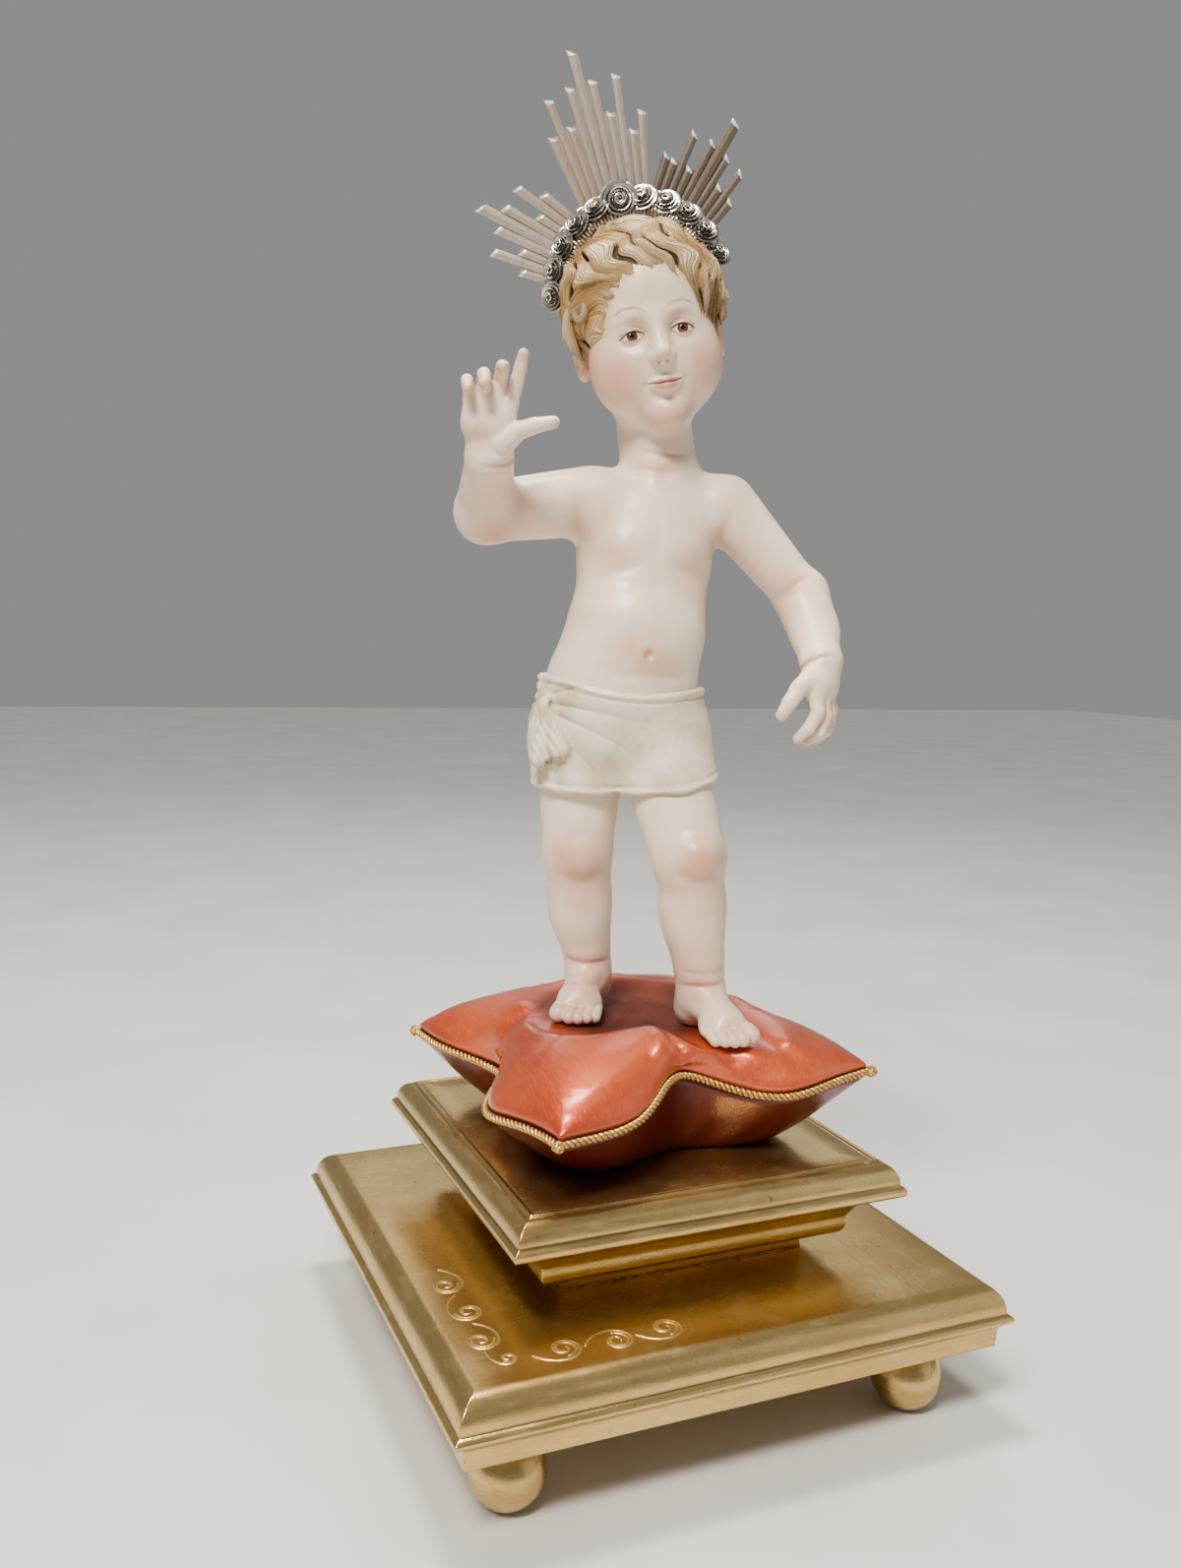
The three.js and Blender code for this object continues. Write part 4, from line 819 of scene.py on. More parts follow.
# ------------------------------------------------------------------ painted colour of the skin
BLUSH = [  # figure frame: centre, radius, strength
    ((-86, -8, 456), 13, 0.75), ((-90, 4, 462), 12, 0.5), ((80, -4, 420), 14, 0.6), ((72, -20, 430), 9, 0.6),
    ((-90, -46, 497), 9, 0.55), ((-96, -48, 500), 7, 0.5), ((88, -38, 384), 9, 0.45),
    ((-40, -16, 283), 12.5, 0.85), ((-34, -20, 284), 12, 0.4), ((23, -51, 289), 14, 0.8), ((-24, -28, 442), 12, 0.55), ((-36, -16, 452), 9, 0.4), ((23, -28, 440), 11, 0.48), ((35, -14, 452), 8, 0.3), ((-33, -14, 262), 12, 0.25), ((24, -40, 264), 12, 0.25), ((-4, -36, 391), 7, 0.6),
    ((-26, 18, 206), 13, 0.6), ((31, -14, 204), 13, 0.6), ((-38, -28, 200), 13, 0.5), ((45, -62, 199), 14, 0.5),
    ((-28, -5, 222), 14, 0.45), ((28, -36, 224), 14, 0.45), ((-28, -12, 212), 10, 0.4), ((27, -38, 217), 10, 0.4),
    ((-45, 3, 478), 12, 0.25), ((46, -4, 478), 12, 0.25), ((4, -14, 489), 13, 0.45),
    ((-30, 24, 345), 20, 0.3), ((8, 24, 345), 20, 0.3), ((-15, -33, 394), 12, 0.5), ((6, -34, 386), 10, 0.25), ((-30, -18, 470), 16, 0.18), ((34, -16, 470), 14, 0.18), ((-70, -14, 462), 14, 0.2), ((58, -14, 445), 14, 0.2)]
for pts, r in fingersR + [thumbR] + fingersL + [thumbL]:
    BLUSH.append((tuple(pts[-1]), 4.6, 0.55))
    BLUSH.append((tuple(pts[1]), 4.2, 0.35))


def paint_masks(V):
    blush = np.zeros(len(V))
    for c, r, s in BLUSH:
        d = V - np.array(c, float)
        q = np.einsum("ij,ij->i", d, d) / (r * r)
        near = q < 7
        blush[near] = 1 - (1 - blush[near]) * (1 - s * np.exp(-q[near]))
    # fold: along the carved creases, where the skin gets painted shade
    fold = np.zeros(len(V))
    for at, n, c, r, a, w in FOLDS:
        n = np.array(n, float) / np.linalg.norm(n)
        t = (V - np.array(at, float)) @ n
        d = V - np.array(c, float)
        fold = np.maximum(fold, min(1, a) * (0.35 if w > 2.2 else 1.0) * np.exp(-(t / (0.8 * w)) ** 2) * np.exp(-(np.einsum("ij,ij->i", d, d) / (r * r)) ** 2))
    return blush, fold


def gaps_between(chains, V, reach):
    """1 where two neighbouring fingers or toes both pass close by: the line of painted shade between them."""
    near = []
    for f in chains:
        near.append(f(V))
    near = np.sort(np.stack(near, 1), 1)
    return np.exp(-(np.maximum(near[:, 1], 0) / reach) ** 2) * (near[:, 0] < 1.2)


def nail_mask(V, N, nails):
    out = np.zeros(len(V))
    for c, r in nails:
        d = V - c
        out = np.maximum(out, smoothstep(np.sqrt(np.einsum("ij,ij->i", d, d)) / r, 1.15, 0.85) * (N[:, 2] > 0.1))
    return out


SKIN = Mat("painted_skin")
FACE = Mat("painted_face")


def skin_piece(name, lo, hi, h, ops, keep=None, nails=(), chains=(), mat=None):
    V, Q, N = mesh_of(ops, lo, hi, h)
    if keep is not None:
        V, Q, N = keep_faces(V, Q, N, keep(V[Q].mean(1)))
    blush, fold = paint_masks(V)
    if chains:
        # painted shade in the gaps between fingers and toes
        fold = np.maximum(fold, 1.0 * gaps_between(chains, V, 0.75))
    attrs = {"blush": blush, "fold": fold, "headco": headco(V), "nail": nail_mask(V, N, nails)}
    if mat is FACE:
        q = headco(V)
        d = (q - HAIR_C) / np.linalg.norm(q - HAIR_C, axis=1)[:, None]
        attrs["edge"] = hair_edge(q)
        attrs["strand"] = hair_flow(np.arccos(np.clip(d @ WHORL, -1, 1)), np.arctan2(d @ WH_S, d @ WH_F))[1]
    return make(name, V, Q, (mat or SKIN).mat, "flesh", "figure", N, attrs, -15.6)


def outside(P, boxes, grow):
    k = np.ones(len(P), bool)
    for lo, hi in boxes:
        k &= ~((P > np.array(lo) + grow) & (P < np.array(hi) - grow)).all(1)
    return k


BOX_HEAD = ((-51, -62, 488), (50, 60, 620))
BOX_FACE = ((-46, -62, 512), (37, -20, 584))
BOX_HR = ((-116, -76, 484), (-50.8, -24, 548))
BOX_HL = ((50, -74, 338), (114, -14, 401))
BOX_FR = ((-75, -60, 186), (3.0, 40, 231))
BOX_FL = ((3.0, -90, 186), (80, 10, 231))

# ---- hair: where it grows on the head, in the head frame
HAIR_C, HAIR_R = np.array([0, 8, 9.0]), np.array([42.5, 46, 41.0])
NAPE_AZ = np.radians([0, 40, 55, 70, 84, 98, 112, 130, 155, 180])
NAPE_Z = np.array([-4, -4, -9, -15, -11.5, -8, -18, -28, -31, -31.0])


def hair_edge(q):
    """Above 0 (mm) inside the hair, below 0 on the face, the ears and the nape."""
    face = ell((0, -44, -15.5), (33.5, 30, 41.5))(q)
    az = np.abs(np.arctan2(q[:, 0], -(q[:, 1] - 6)))
    low = q[:, 2] - np.interp(az, NAPE_AZ, NAPE_Z)
    return smin(face, low, 3)


WHORL = np.array([-0.10, 0.42, 0.90])
WHORL /= np.linalg.norm(WHORL)
WH_F = np.array([0, -1.0, 0]) + WHORL * WHORL[1]
WH_F /= np.linalg.norm(WH_F)
WH_S = np.cross(WHORL, WH_F)
WH_S *= np.sign(WH_S[0])
LOCKS, STRANDS = 21, 9


def hair_flow(Bt, Gs):
    """Distance from the whorl in mm, and which lock, from the angles about the whorl."""
    along = Bt * 45.0
    wide = 44 * np.maximum(np.sin(Bt), 0.05)
    front = smoothstep(np.cos(Gs), -0.2, 1.0)
    swirl = -1.15 * np.exp(-along / 16)
    sweep = -(0.72 * front) * (along / 62) ** 1.4 * smoothstep(Gs, 2.4, -0.6)
    wave = (3.5 * np.sin(2 * math.pi * along / 29 + 1.3 * np.sin(2 * Gs) + 0.6) * smoothstep(along, 6, 30)
            + 0.8 * np.sin(2 * math.pi * along / 14 + 4 * np.sin(3 * Gs))) / np.maximum(wide, 8)
    uneven = 0.07 * np.sin(5 * Gs + along / 11) + 0.05 * np.sin(9 * Gs - along / 8 + 1) + 0.10 * np.sin(3 * Gs + 2)
    return along, (Gs + swirl + sweep + wave + uneven) * LOCKS / (2 * math.pi)


def hidden_by_hair(P):
    q = headco(P)
    e = (q - HAIR_C) / (HAIR_R + 0.5)
    by_ear = (np.abs(q[:, 0]) > 35) & (np.abs(q[:, 1] - 4.5) < 11) & (q[:, 2] < 4)
    return (np.einsum("ij,ij->i", e, e) < 1) & (hair_edge(q) > 6.5) & ~by_ear


def body_only(c):
    k = outside(c, [BOX_HEAD, BOX_HR, BOX_HL, BOX_FR, BOX_FL], 1.6)
    band = (c[:, 2] > 322) & (c[:, 2] < 372) & (np.abs(c[:, 0] + 10) < 60)
    if band.any():
        idx = np.nonzero(band)[0]
        k[idx[run(cloth_ops, c[idx]) < -1.4]] = False
    return k


skin_piece("figure_body", (-112, -62, 227), (106, 54, 492), 1.3, skin_ops, body_only)
skin_piece("figure_face", BOX_FACE[0], BOX_FACE[1], 0.46, skin_ops, lambda c: ~hidden_by_hair(c), mat=FACE)
skin_piece("figure_head", BOX_HEAD[0], BOX_HEAD[1], 0.8, skin_ops,
           lambda c: ~hidden_by_hair(c) & outside(c, [BOX_FACE], 1.0), mat=FACE)
skin_piece("figure_hand_right", BOX_HR[0], BOX_HR[1], 0.55, skin_ops,
           chains=[cone(f[0][0], f[0][1], f[1][0], f[1][1]) for f in fingersR])
skin_piece("figure_hand_left", BOX_HL[0], BOX_HL[1], 0.55, skin_ops,
           nails=[(np.array(hl(-24.6, -10.0, -14.6)), 2.2)],
           chains=[cone(f[0][0], f[0][1], f[1][0], f[1][1]) for f in fingersL])
skin_piece("figure_foot_right", BOX_FR[0], BOX_FR[1], 0.66, skin_ops, nails=nailsR, chains=[footR[i][1] for i in (4, 6, 8, 10, 12)])
skin_piece("figure_foot_left", BOX_FL[0], BOX_FL[1], 0.66, skin_ops, nails=nailsL, chains=[footL[i][1] for i in (4, 6, 8, 10, 12)])

# ---- eyes: glossy painted balls behind the lids
EYES = Mat("painted_eyes")
parts, local = [], []
for sx in (-1, 1):
    n1, n2 = 40, 48
    th = np.linspace(0, rad(75), n1)
    ph = np.arange(n2) * 2 * math.pi / n2
    T, H = np.meshgrid(th, ph, indexing="ij")
    d = np.stack([np.sin(T) * np.cos(H), -np.cos(T), np.sin(T) * np.sin(H)], -1).reshape(-1, 3)
    P = d * EYE_R + np.array([EYE[0] * sx, EYE[1], EYE[2]])
    parts.append((P @ HR.T + HEAD_AT, grid_faces(n1, n2, True)[:, ::-1]))
    local.append(d * EYE_R)
P, F = merged(parts)
make("figure_eyes", P, F, EYES.mat, "flesh", "figure", attrs={"eyeco": np.concatenate(local)}, turn=-15.6)

# ---- loincloth
CLOTH = Mat("painted_cloth")
V, Q, N = mesh_of(cloth_ops, (-68, -48, 306), (46, 46, 390), 0.95)
mid = V[Q].mean(1)
V, Q, N = keep_faces(V, Q, N, run(body_ops + [("m", None, 1)], mid) > -1.6)
make("figure_loincloth", V, Q, CLOTH.mat, "flesh", "figure", N, None, -15.6)

# ---- hair: carved waves that leave a whorl at the crown
HAIR = Mat("painted_hair")


def hash1(i, k):
    return np.mod(np.sin((np.mod(i, LOCKS) + 1) * 12.9898 + k * 78.233) * 43758.5453, 1.0)


def skin_reach(d, start):
    """How far from the middle of the hair the skin lies, along each direction."""
    ops = [NECK_OP, ("m", None, 1)] + SKULL_OPS + [("m", None, 6)]
    r = start.copy()
    for _k in range(5):
        r -= np.clip(run(ops, (HAIR_C + d * r[:, None]) @ HR.T + HEAD_AT), -3, 3)
    return r


def hair_shell():
    nb, ng = 222, 372
    beta = np.linspace(0.0, rad(142), nb)
    gam = -math.pi + np.arange(ng + 1) * 2 * math.pi / ng
    Bt, G = np.meshgrid(beta, gam, indexing="ij")
    Bt, G = Bt.ravel(), G.ravel()
    d = np.cos(Bt)[:, None] * WHORL + np.sin(Bt)[:, None] * (np.cos(G)[:, None] * WH_F + np.sin(G)[:, None] * WH_S)
    scale = 1 / np.sqrt(((d / HAIR_R) ** 2).sum(1))
    base = HAIR_C + d * scale[:, None]
    edge = hair_edge(base)
    along, psi = hair_flow(Bt, G)
    lock = np.floor(psi)
    frac = psi - lock
    line = np.round(psi)
    tri = 1 - np.abs(2 * frac - 1)
    fade = smoothstep(along, 5, 16)
    # locks: rounded, some standing prouder, each rising and diving along its length
    swell = np.sin(2 * math.pi * (along / (34 + 10 * hash1(lock, 1)) + hash1(lock, 2)))
    crown = 1 - (1 - tri) ** 2.0
    # deep cuts run only along parts of the lines between locks
    run_ = np.sin(2 * math.pi * (along / (44 + 16 * hash1(line, 3)) + hash1(line, 9)))
    open_ = smoothstep(run_, 0.0, 0.6)
    cut = open_ * np.exp(-(tri / (0.15 + 0.09 * open_)) ** 3)
    sub = np.mod(psi * 3, 1.0)
    sub = 1 - np.abs(2 * sub - 1)
    run2 = np.sin(2 * math.pi * (along / 19 + hash1(np.round(psi * 3), 5)))
    cut2 = smoothstep(run2, 0.1, 0.8) * np.exp(-(sub / 0.28) ** 2)
    fine = 0.5 + 0.5 * np.cos(2 * math.pi * psi * 6)
    rise_up = -0.5 + fade * (1.4 * crown + 1.5 * swell * crown ** 0.6 - 3.6 * cut - 0.65 * cut2 + 0.34 * (fine - 0.5)) + (1 - fade) * 1.0
    # the ends: pointed tips that thin out and lie down on the skin
    wisps = 0.6 * np.sin(2 * math.pi * psi * 1.5 + 2.0) + 0.4 * np.sin(2 * math.pi * psi * 3 + 0.7)
    lip = edge + (3.4 * (tri - 0.45) + 1.8 * wisps) * smoothstep(edge, 14, 0) + 1.3 * (fine - 0.5)
    k = lip > -3.6
    k[:ng + 1] = True
    r0 = np.linalg.norm(base - HAIR_C, axis=1)
    skin = r0 - 3.0
    skin[k] = skin_reach(d[k], skin[k])
    skin = np.minimum(skin, r0 + 1.0)
    full = np.maximum(r0 + rise_up + 0.9, skin + 0.7)
    r = skin + 0.12 + (full - skin) * np.clip((lip + 0.6) / 15.0, 0, 1) ** 0.8 - 3.4 * smoothstep(lip, 0.2, -2.4)
    # where painted shade darkens the hair: in the deep cuts and low between the locks
    groove = np.clip(cut + 0.30 * cut2 + 0.18 * (1 - crown), 0, 1) * fade
    P = HAIR_C + d * r[:, None]
    Q = grid_faces(nb, ng + 1)
    # the last mask marks the crowns of the locks for a painted highlight
    return P, Q[(lip[Q] > -2.7).any(1)], groove, psi, np.minimum(edge, lip + 1.0), crown * (0.5 + 0.5 * swell)


def curl(path, radius, normal, twist=2, sides=16):
    """A carved lock: a tapered tube on a path in the head frame, with its combed lines."""
    path = np.asarray(path, float)
    s_ = np.linspace(0, 1, len(path))
    fine_path = np.stack([np.interp(np.linspace(0, 1, 90), s_, path[:, j]) for j in range(3)], 1)
    for _k in range(5):
        fine_path[1:-1] = 0.5 * fine_path[1:-1] + 0.25 * (fine_path[:-2] + fine_path[2:])
    rr = np.interp(np.linspace(0, 1, 90), np.linspace(0, 1, len(radius)), radius)
    P, F = tube(fine_path, rr, sides)
    mid = np.repeat(fine_path, sides, 0)
    nn = np.asarray(normal, float) / np.linalg.norm(normal)
    u = (P - mid) / np.maximum(np.repeat(rr, sides), 0.05)[:, None]
    high = u @ nn
    ang = np.tile(np.arange(sides) / sides, 90)
    ridge = np.cos(2 * math.pi * ang * 7)
    P = P + u * (0.14 * ridge * np.minimum(1, np.repeat(rr, sides)))[:, None]
    # masks: the underside for painted shade, the top for a painted highlight
    return P, F, smoothstep(high, 0.05, -0.75), ang * twist, 0.45 + 0.5 * np.maximum(high, 0)


def spiral(c, normal, start, r0, r1, turns, lift=0.0, lead=()):
    """Points of a spiral about c in the plane square to the normal, after some leading points."""
    n = np.array(normal, float) / np.linalg.norm(normal)
    e1 = np.array(start, float)
    e1 -= n * (e1 @ n)
    e1 /= np.linalg.norm(e1)
    e2 = np.cross(n, e1)
    k = np.linspace(0, 1, 40)
    a = 2 * math.pi * turns * k
    r = r0 + (r1 - r0) * k
    P = np.array(c) + (r * np.cos(a))[:, None] * e1 + (r * np.sin(a))[:, None] * e2 + (lift * k)[:, None] * n
    return np.concatenate([np.array(lead, float).reshape(-1, 3), P])


P, Q, groove, strand, edge, proud = hair_shell()
used = np.zeros(len(P), bool)
used[Q.ravel()] = True
idx = np.cumsum(used) - 1
hair_parts = [(P[used], idx[Q])]
hair_attrs = [[groove[used]], [strand[used]], [edge[used]], [proud[used]]]
for path, radius, nrm in (
        # left temple: a rolled curl over the ear, and locks that fall behind and before it
        (spiral((39.5, -7.5, 8.5), (1, -0.45, 0.1), (0, -0.2, 1), 7.0, 1.5, 1.35, 1.5), [0.6, 2.6, 3.3, 3.1, 2.6, 2.0, 1.2, 0.5], (1, -0.45, 0.1)),
        (spiral((41.0, 7.0, 0.5), (1, 0.1, 0.0), (0, -0.3, 1), 6.0, 1.6, -1.2, 1.0), [0.6, 2.6, 3.2, 3.0, 2.4, 1.8, 1.0, 0.4], (1, 0, 0)),
        ([(33, -16, 22), (36, -15, 15), (38.0, -12, 6), (38.4, -10.5, -2), (36.8, -12.5, -9)], [0.5, 2.4, 3.4, 2.6, 0.4], (1, -0.5, 0)),
        # right temple: a small hook on the brow, and a lock that falls before the ear
        (spiral((-35.0, -17.5, 8.5), (-0.85, -0.55, 0.1), (0, 0.2, 1), 5.4, 1.3, -1.3, 1.2), [0.5, 2.0, 2.5, 2.3, 1.9, 1.4, 0.8, 0.4], (-0.85, -0.55, 0.1)),
        ([(-37, -5, 17), (-40.5, -6, 8), (-41.5, -6, 0), (-40.0, -8, -8), (-37.0, -9, -15)], [0.5, 3.0, 3.8, 3.0, 0.4], (-1, -0.3, 0)),
        (spiral((-41.0, 8.0, 1.0), (-1, 0.1, 0.0), (0, -0.3, 1), 6.0, 1.6, 1.2, 1.0), [0.6, 2.6, 3.2, 3.0, 2.4, 1.8, 1.0, 0.4], (-1, 0, 0)),
        # nape
        (spiral((12, 47.5, -22.0), (0.2, 1, -0.25), (-1, 0, 0.6), 5.0, 1.3, 1.2, 0.5), [0.5, 2.0, 2.6, 2.3, 1.8, 1.2, 0.5], (0.2, 1, -0.2)),
        (spiral((-10, 48.0, -21.0), (-0.2, 1, -0.25), (1, 0, 0.6), 5.0, 1.3, -1.2, 0.5), [0.5, 2.0, 2.6, 2.3, 1.8, 1.2, 0.5], (-0.2, 1, -0.2))):
    P, F, g1, s1, p1 = curl(path, radius, nrm)
    hair_parts.append((P, F))
    for store, value in zip(hair_attrs, (0.8 * g1, s1, np.full(len(P), 20.0), p1)):
        store.append(value)
P, F = merged(hair_parts)
groove, strand, edge, proud = (np.concatenate(v) for v in hair_attrs)
make("figure_hair", P @ HR.T + HEAD_AT, F, HAIR.mat, "flesh", "figure",
     attrs={"groove": groove, "strand": strand, "edge": edge, "proud": proud}, turn=-15.6)


# ------------------------------------------------------------------ cushion and its cord
SEAM_Z = [164, 175, 170, 167]
SIDES = [dict(pinch=-0.05, lift=-0.16, sag=0.4, swell=0.5, by=1, deep=27, rise=10),
         dict(pinch=0.06, lift=0.1, sag=-0.42, swell=-0.5, by=2, deep=27, rise=10),
         dict(pinch=-0.08, lift=-0.1, sag=0.45, swell=0.5, by=2, deep=27, rise=10),
         dict(pinch=-0.22, lift=-0.24, sag=0.3, swell=0.36, by=10, deep=20, rise=-3)]


def bell(x, at, w):
    return np.exp(-((x - at) / w) ** 2)


def seam(t):
    """Points of the cushion's seam at t (0..4), and each point's side and place along it."""
    t = np.mod(np.asarray(t, float), 4)
    side = np.minimum(np.floor(t).astype(int), 3)
    s = (t - side) * 2 - 1
    g = {k: np.array([w[k] for w in SIDES])[side] for k in SIDES[0]}

    def ends(at, w):
        return bell(s, at, w) - bell(-1, at, w) * (1 - s) / 2 - bell(1, at, w) * (1 + s) / 2
    out = 92 - g["deep"] * ends(g["pinch"], 0.36) + g["by"] * ends(g["swell"], 0.34) + 2 * np.sin(math.pi * s) ** 2
    along = s * 92
    x = np.choose(side, [along, out, -along, -out]) - 1
    y = np.choose(side, [-out, along, out, -along])
    z0, z1 = np.array(SEAM_Z)[side], np.array(SEAM_Z)[(side + 1) % 4]
    z = z0 + (z1 - z0) * (s + 1) / 2 + g["rise"] * ends(g["lift"], 0.26) - 4 * ends(g["sag"], 0.26)
    return np.stack([x, y, z], -1), side, s, g


TURN_FEET = rad(4.9 + 15.6)


def in_figure(x, y):
    return x * math.cos(TURN_FEET) - y * math.sin(TURN_FEET), x * math.sin(TURN_FEET) + y * math.cos(TURN_FEET)


def pressed(x, y):
    u, w = in_figure(x, y)
    far = np.full(np.shape(x), 1e9)
    for at, d in FEET.values():
        l = math.hypot(*d)
        fx, fy = d[0] / l, d[1] / l
        f = (u - at[0]) * fx + (w - at[1]) * fy
        r = (u - at[0]) * fy - (w - at[1]) * fx
        far = np.minimum(far, np.hypot(np.maximum(0, np.maximum(-8 - f, f - 34)), r) - 13)
    return soleZ(u, w) - 0.65 + 0.6 * np.maximum(0, far - 7), far


# Creases of the top: side, where on the seam, drift towards the middle, width, depth (below 0 a ridge)
CREASES = [
    (0, -0.10, -0.20, 0.040, 4.4), (0, -0.21, -0.34, 0.05, -2.6), (0, 0.05, 0.02, 0.045, -4.2), (0, 0.19, 0.14, 0.055, 3.4),
    (0, 0.34, 0.10, 0.045, -1.2), (0, 0.55, 0.05, 0.05, 1.3), (0, 0.68, 0.02, 0.04, -1.2), (0, -0.42, 0.16, 0.05, 0.9),
    (1, 0.04, 0.02, 0.11, 6.0), (1, -0.12, -0.16, 0.05, -1.6), (1, 0.24, 0.18, 0.05, -1.4), (1, -0.5, -0.05, 0.05, 1.0),
    (2, -0.06, -0.08, 0.045, 2.2), (2, 0.14, 0.14, 0.05, -1.5), (2, -0.26, -0.2, 0.05, -1.3), (2, 0.5, 0.05, 0.05, 1.0),
    (3, -0.18, -0.05, 0.05, 3.0), (3, -0.36, -0.22, 0.06, -2.0), (3, 0.02, 0.18, 0.06, -1.8), (3, 0.48, 0.04, 0.05, 1.0)]


def cushion_top(q, side, s, P0):
    x, y = P0[..., 0] * q, P0[..., 1] * q
    press, far = pressed(x, y)
    u, w = in_figure(x, y)
    hollow = soleZ(u, w) - 0.35
    corner = np.sin(0.5 * math.pi * np.abs(s) ** 1.35) ** 2
    rim = 204 - 5 * corner * q
    edge = np.maximum(0, 1 - q ** (3.3 + 0.7 * corner)) ** 0.545
    t = np.clip((q - 0.36) / 0.26, 0, 1)
    centre = hollow + (rim - hollow) * t * t * (3 - 2 * t)
    z = P0[..., 2] + 1.5 + (centre - P0[..., 2] - 1.5) * edge
    fold = np.zeros_like(z)
    for sd, at, drift, wide, depth in CREASES:
        m = side == sd
        c = at + drift * (1 - q)
        wd = wide * (1.0 + 1.3 * (1 - q)) * (1.4 if depth < 0 else 1.0)
        fold += np.where(m, depth * np.exp(-((s - c) / wd) ** 2), 0) * smoothstep(q, 0.50, 0.72) * smoothstep(q, 1.0, 0.93)
    fold = fold * smoothstep(np.abs(s), 1.0, 0.8)
    soft = 0.4 * np.sin(x * 0.10 + 1) * np.sin(y * 0.12 + 2)
    z = z - fold * 0.95 + soft * smoothstep(q, 0.4, 0.6) * smoothstep(q, 1, 0.9)
    press = press + 0.8 * np.sin(x * 0.12 + 0.7) * np.sin(y * 0.10 + 1.9) * smoothstep(far, 1, 9)
    return smin(z, press, 5.0) + 0.75 * smoothstep(far, 6, -2)


LACQUER = Mat("red_lacquer")
n = 470
tt = np.arange(n) * 4 / n
S0, side, s, _ = seam(tt)
qs = np.concatenate([[0.03], np.linspace(0.1, 0.5, 15), np.linspace(0.515, 0.9, 44), 1 - 0.1 * np.linspace(0.93, 0.07, 26) ** 1.35])
FREQ = np.fft.rfftfreq(n) * 2 * math.pi


def rounded(values, width):
    """The closed outline smoothed over a width in steps."""
    return np.fft.irfft(np.fft.rfft(values, axis=0) * np.exp(-0.5 * (FREQ * width) ** 2)[:, None], n, axis=0)


rings = []
for q in qs:
    Sq = rounded(S0, 0.1 + 2.6 * float(smoothstep(1 - q, 0.0, 0.03)) + 58 * max(0.0, 0.998 - q) ** 0.66)
    z = cushion_top(np.full(n, q), side, s, Sq)
    rings.append(np.stack([Sq[:, 0] * q, Sq[:, 1] * q, z], 1))
top_rows = np.array(rings)
for _k in range(5):  # ease the sheet, away from its edge
    inner = top_rows[1:-8].copy()
    top_rows[1:-8, :, 2] = 0.5 * inner[:, :, 2] + 0.125 * (top_rows[:-9, :, 2] + top_rows[2:-7, :, 2]) \
        + 0.125 * (np.roll(inner, 1, 1)[:, :, 2] + np.roll(inner, -1, 1)[:, :, 2])
rings = list(top_rows)


def inset(d, dz):
    l = np.hypot(S0[:, 0], S0[:, 1])
    return np.stack([S0[:, 0] * (1 - d / l), S0[:, 1] * (1 - d / l), S0[:, 2] + dz], 1)


g = 1.5
for a in np.linspace(rad(70), rad(-70), 9):  # the channel that the cord lies in
    rings.append(inset(0.55 + 1.7 * math.cos(a) ** 1.2, g * math.sin(a) / math.sin(rad(70))))
for q in np.linspace(1, 0, 40)[1:]:
    k = 0.65 + 0.34 * q ** 0.85
    Sq = rounded(S0, 0.1 + 16 * (1 - q) ** 0.7)
    under = 131 + (Sq[:, 2] - 1.6 - 131) * (q * 0.96) ** 1.2
    gather = 0.9 * np.sin(s * 21 + side * 2.0) * np.exp(-(s / 0.5) ** 2) * math.sin(math.pi * q) ** 1.5 / 92
    rings.append(np.stack([Sq[:, 0] * (k + gather), Sq[:, 1] * (k + gather), under], 1))
P = np.concatenate(rings + [np.array([[0, 0, rings[0][:, 2].mean()], [0, 0, 131.0]])])
F = [grid_faces(len(rings), n, True)[:, ::-1]]
i = np.arange(n)
F.append(np.stack([np.full(n, n * len(rings)), i, (i + 1) % n], 1))
F.append(np.stack([np.full(n, n * len(rings) + 1), n * (len(rings) - 1) + (i + 1) % n, n * (len(rings) - 1) + i], 1))
# the underside, to be painted darker as shade under the cushion
underside_shade_mask = np.concatenate([np.zeros(n * len(qs)), np.ones(len(P) - n * len(qs))])
# the hollow round the feet, to get painted shadow
hollow_mask = np.zeros(len(P))
hollow_mask[:n * len(qs)] = (smoothstep(qs, 0.74, 0.46)[:, None] * smoothstep(top_rows[:, :, 2], 204, 198)).ravel()
hollow_mask[-2] = 1
_, side_r, s_r, _ = seam(np.tile(tt, len(rings)))
make("cushion_lacquered", P, F, LACQUER.mat, "lacquer", "cushion", attrs={"under": underside_shade_mask, "hollow": hollow_mask}, turn=4.9)

CORD = Mat("twisted_cord")
m = 1500
tc = np.arange(m) * 4 / m
C0, _, _, _ = seam(tc)
T = np.roll(C0, -1, 0) - np.roll(C0, 1, 0)
T /= np.linalg.norm(T, axis=1)[:, None]
O = np.stack([C0[:, 0], C0[:, 1], np.zeros(m)], 1)
O -= T * np.einsum("ij,ij->i", O, T)[:, None]
O /= np.linalg.norm(O, axis=1)[:, None]
U = np.cross(T, O)
for _i in range(6):  # soften the turn at the corners
    C0 = 0.5 * C0 + 0.25 * (np.roll(C0, 1, 0) + np.roll(C0, -1, 0))
C0 = C0 + O * 0.75
length = np.concatenate([[0], np.cumsum(np.linalg.norm(np.diff(C0, axis=0), axis=1))])
turns = round(length[-1] / 5.8)
parts, deep = [], []
for strand in range(2):
    a = 2 * math.pi * turns * length / (length[-1] + 0.5) + strand * math.pi
    path = C0 + 1.02 * (np.cos(a)[:, None] * O + np.sin(a)[:, None] * U)
    P, F = tube(path, 1.10, 8, True)
    parts.append((P, F))
    # marks the inner sides of the strands, where painted shade goes
    deep.append(smoothstep(np.linalg.norm(P - np.repeat(C0, 8, 0), axis=1), 1.75, 0.9))
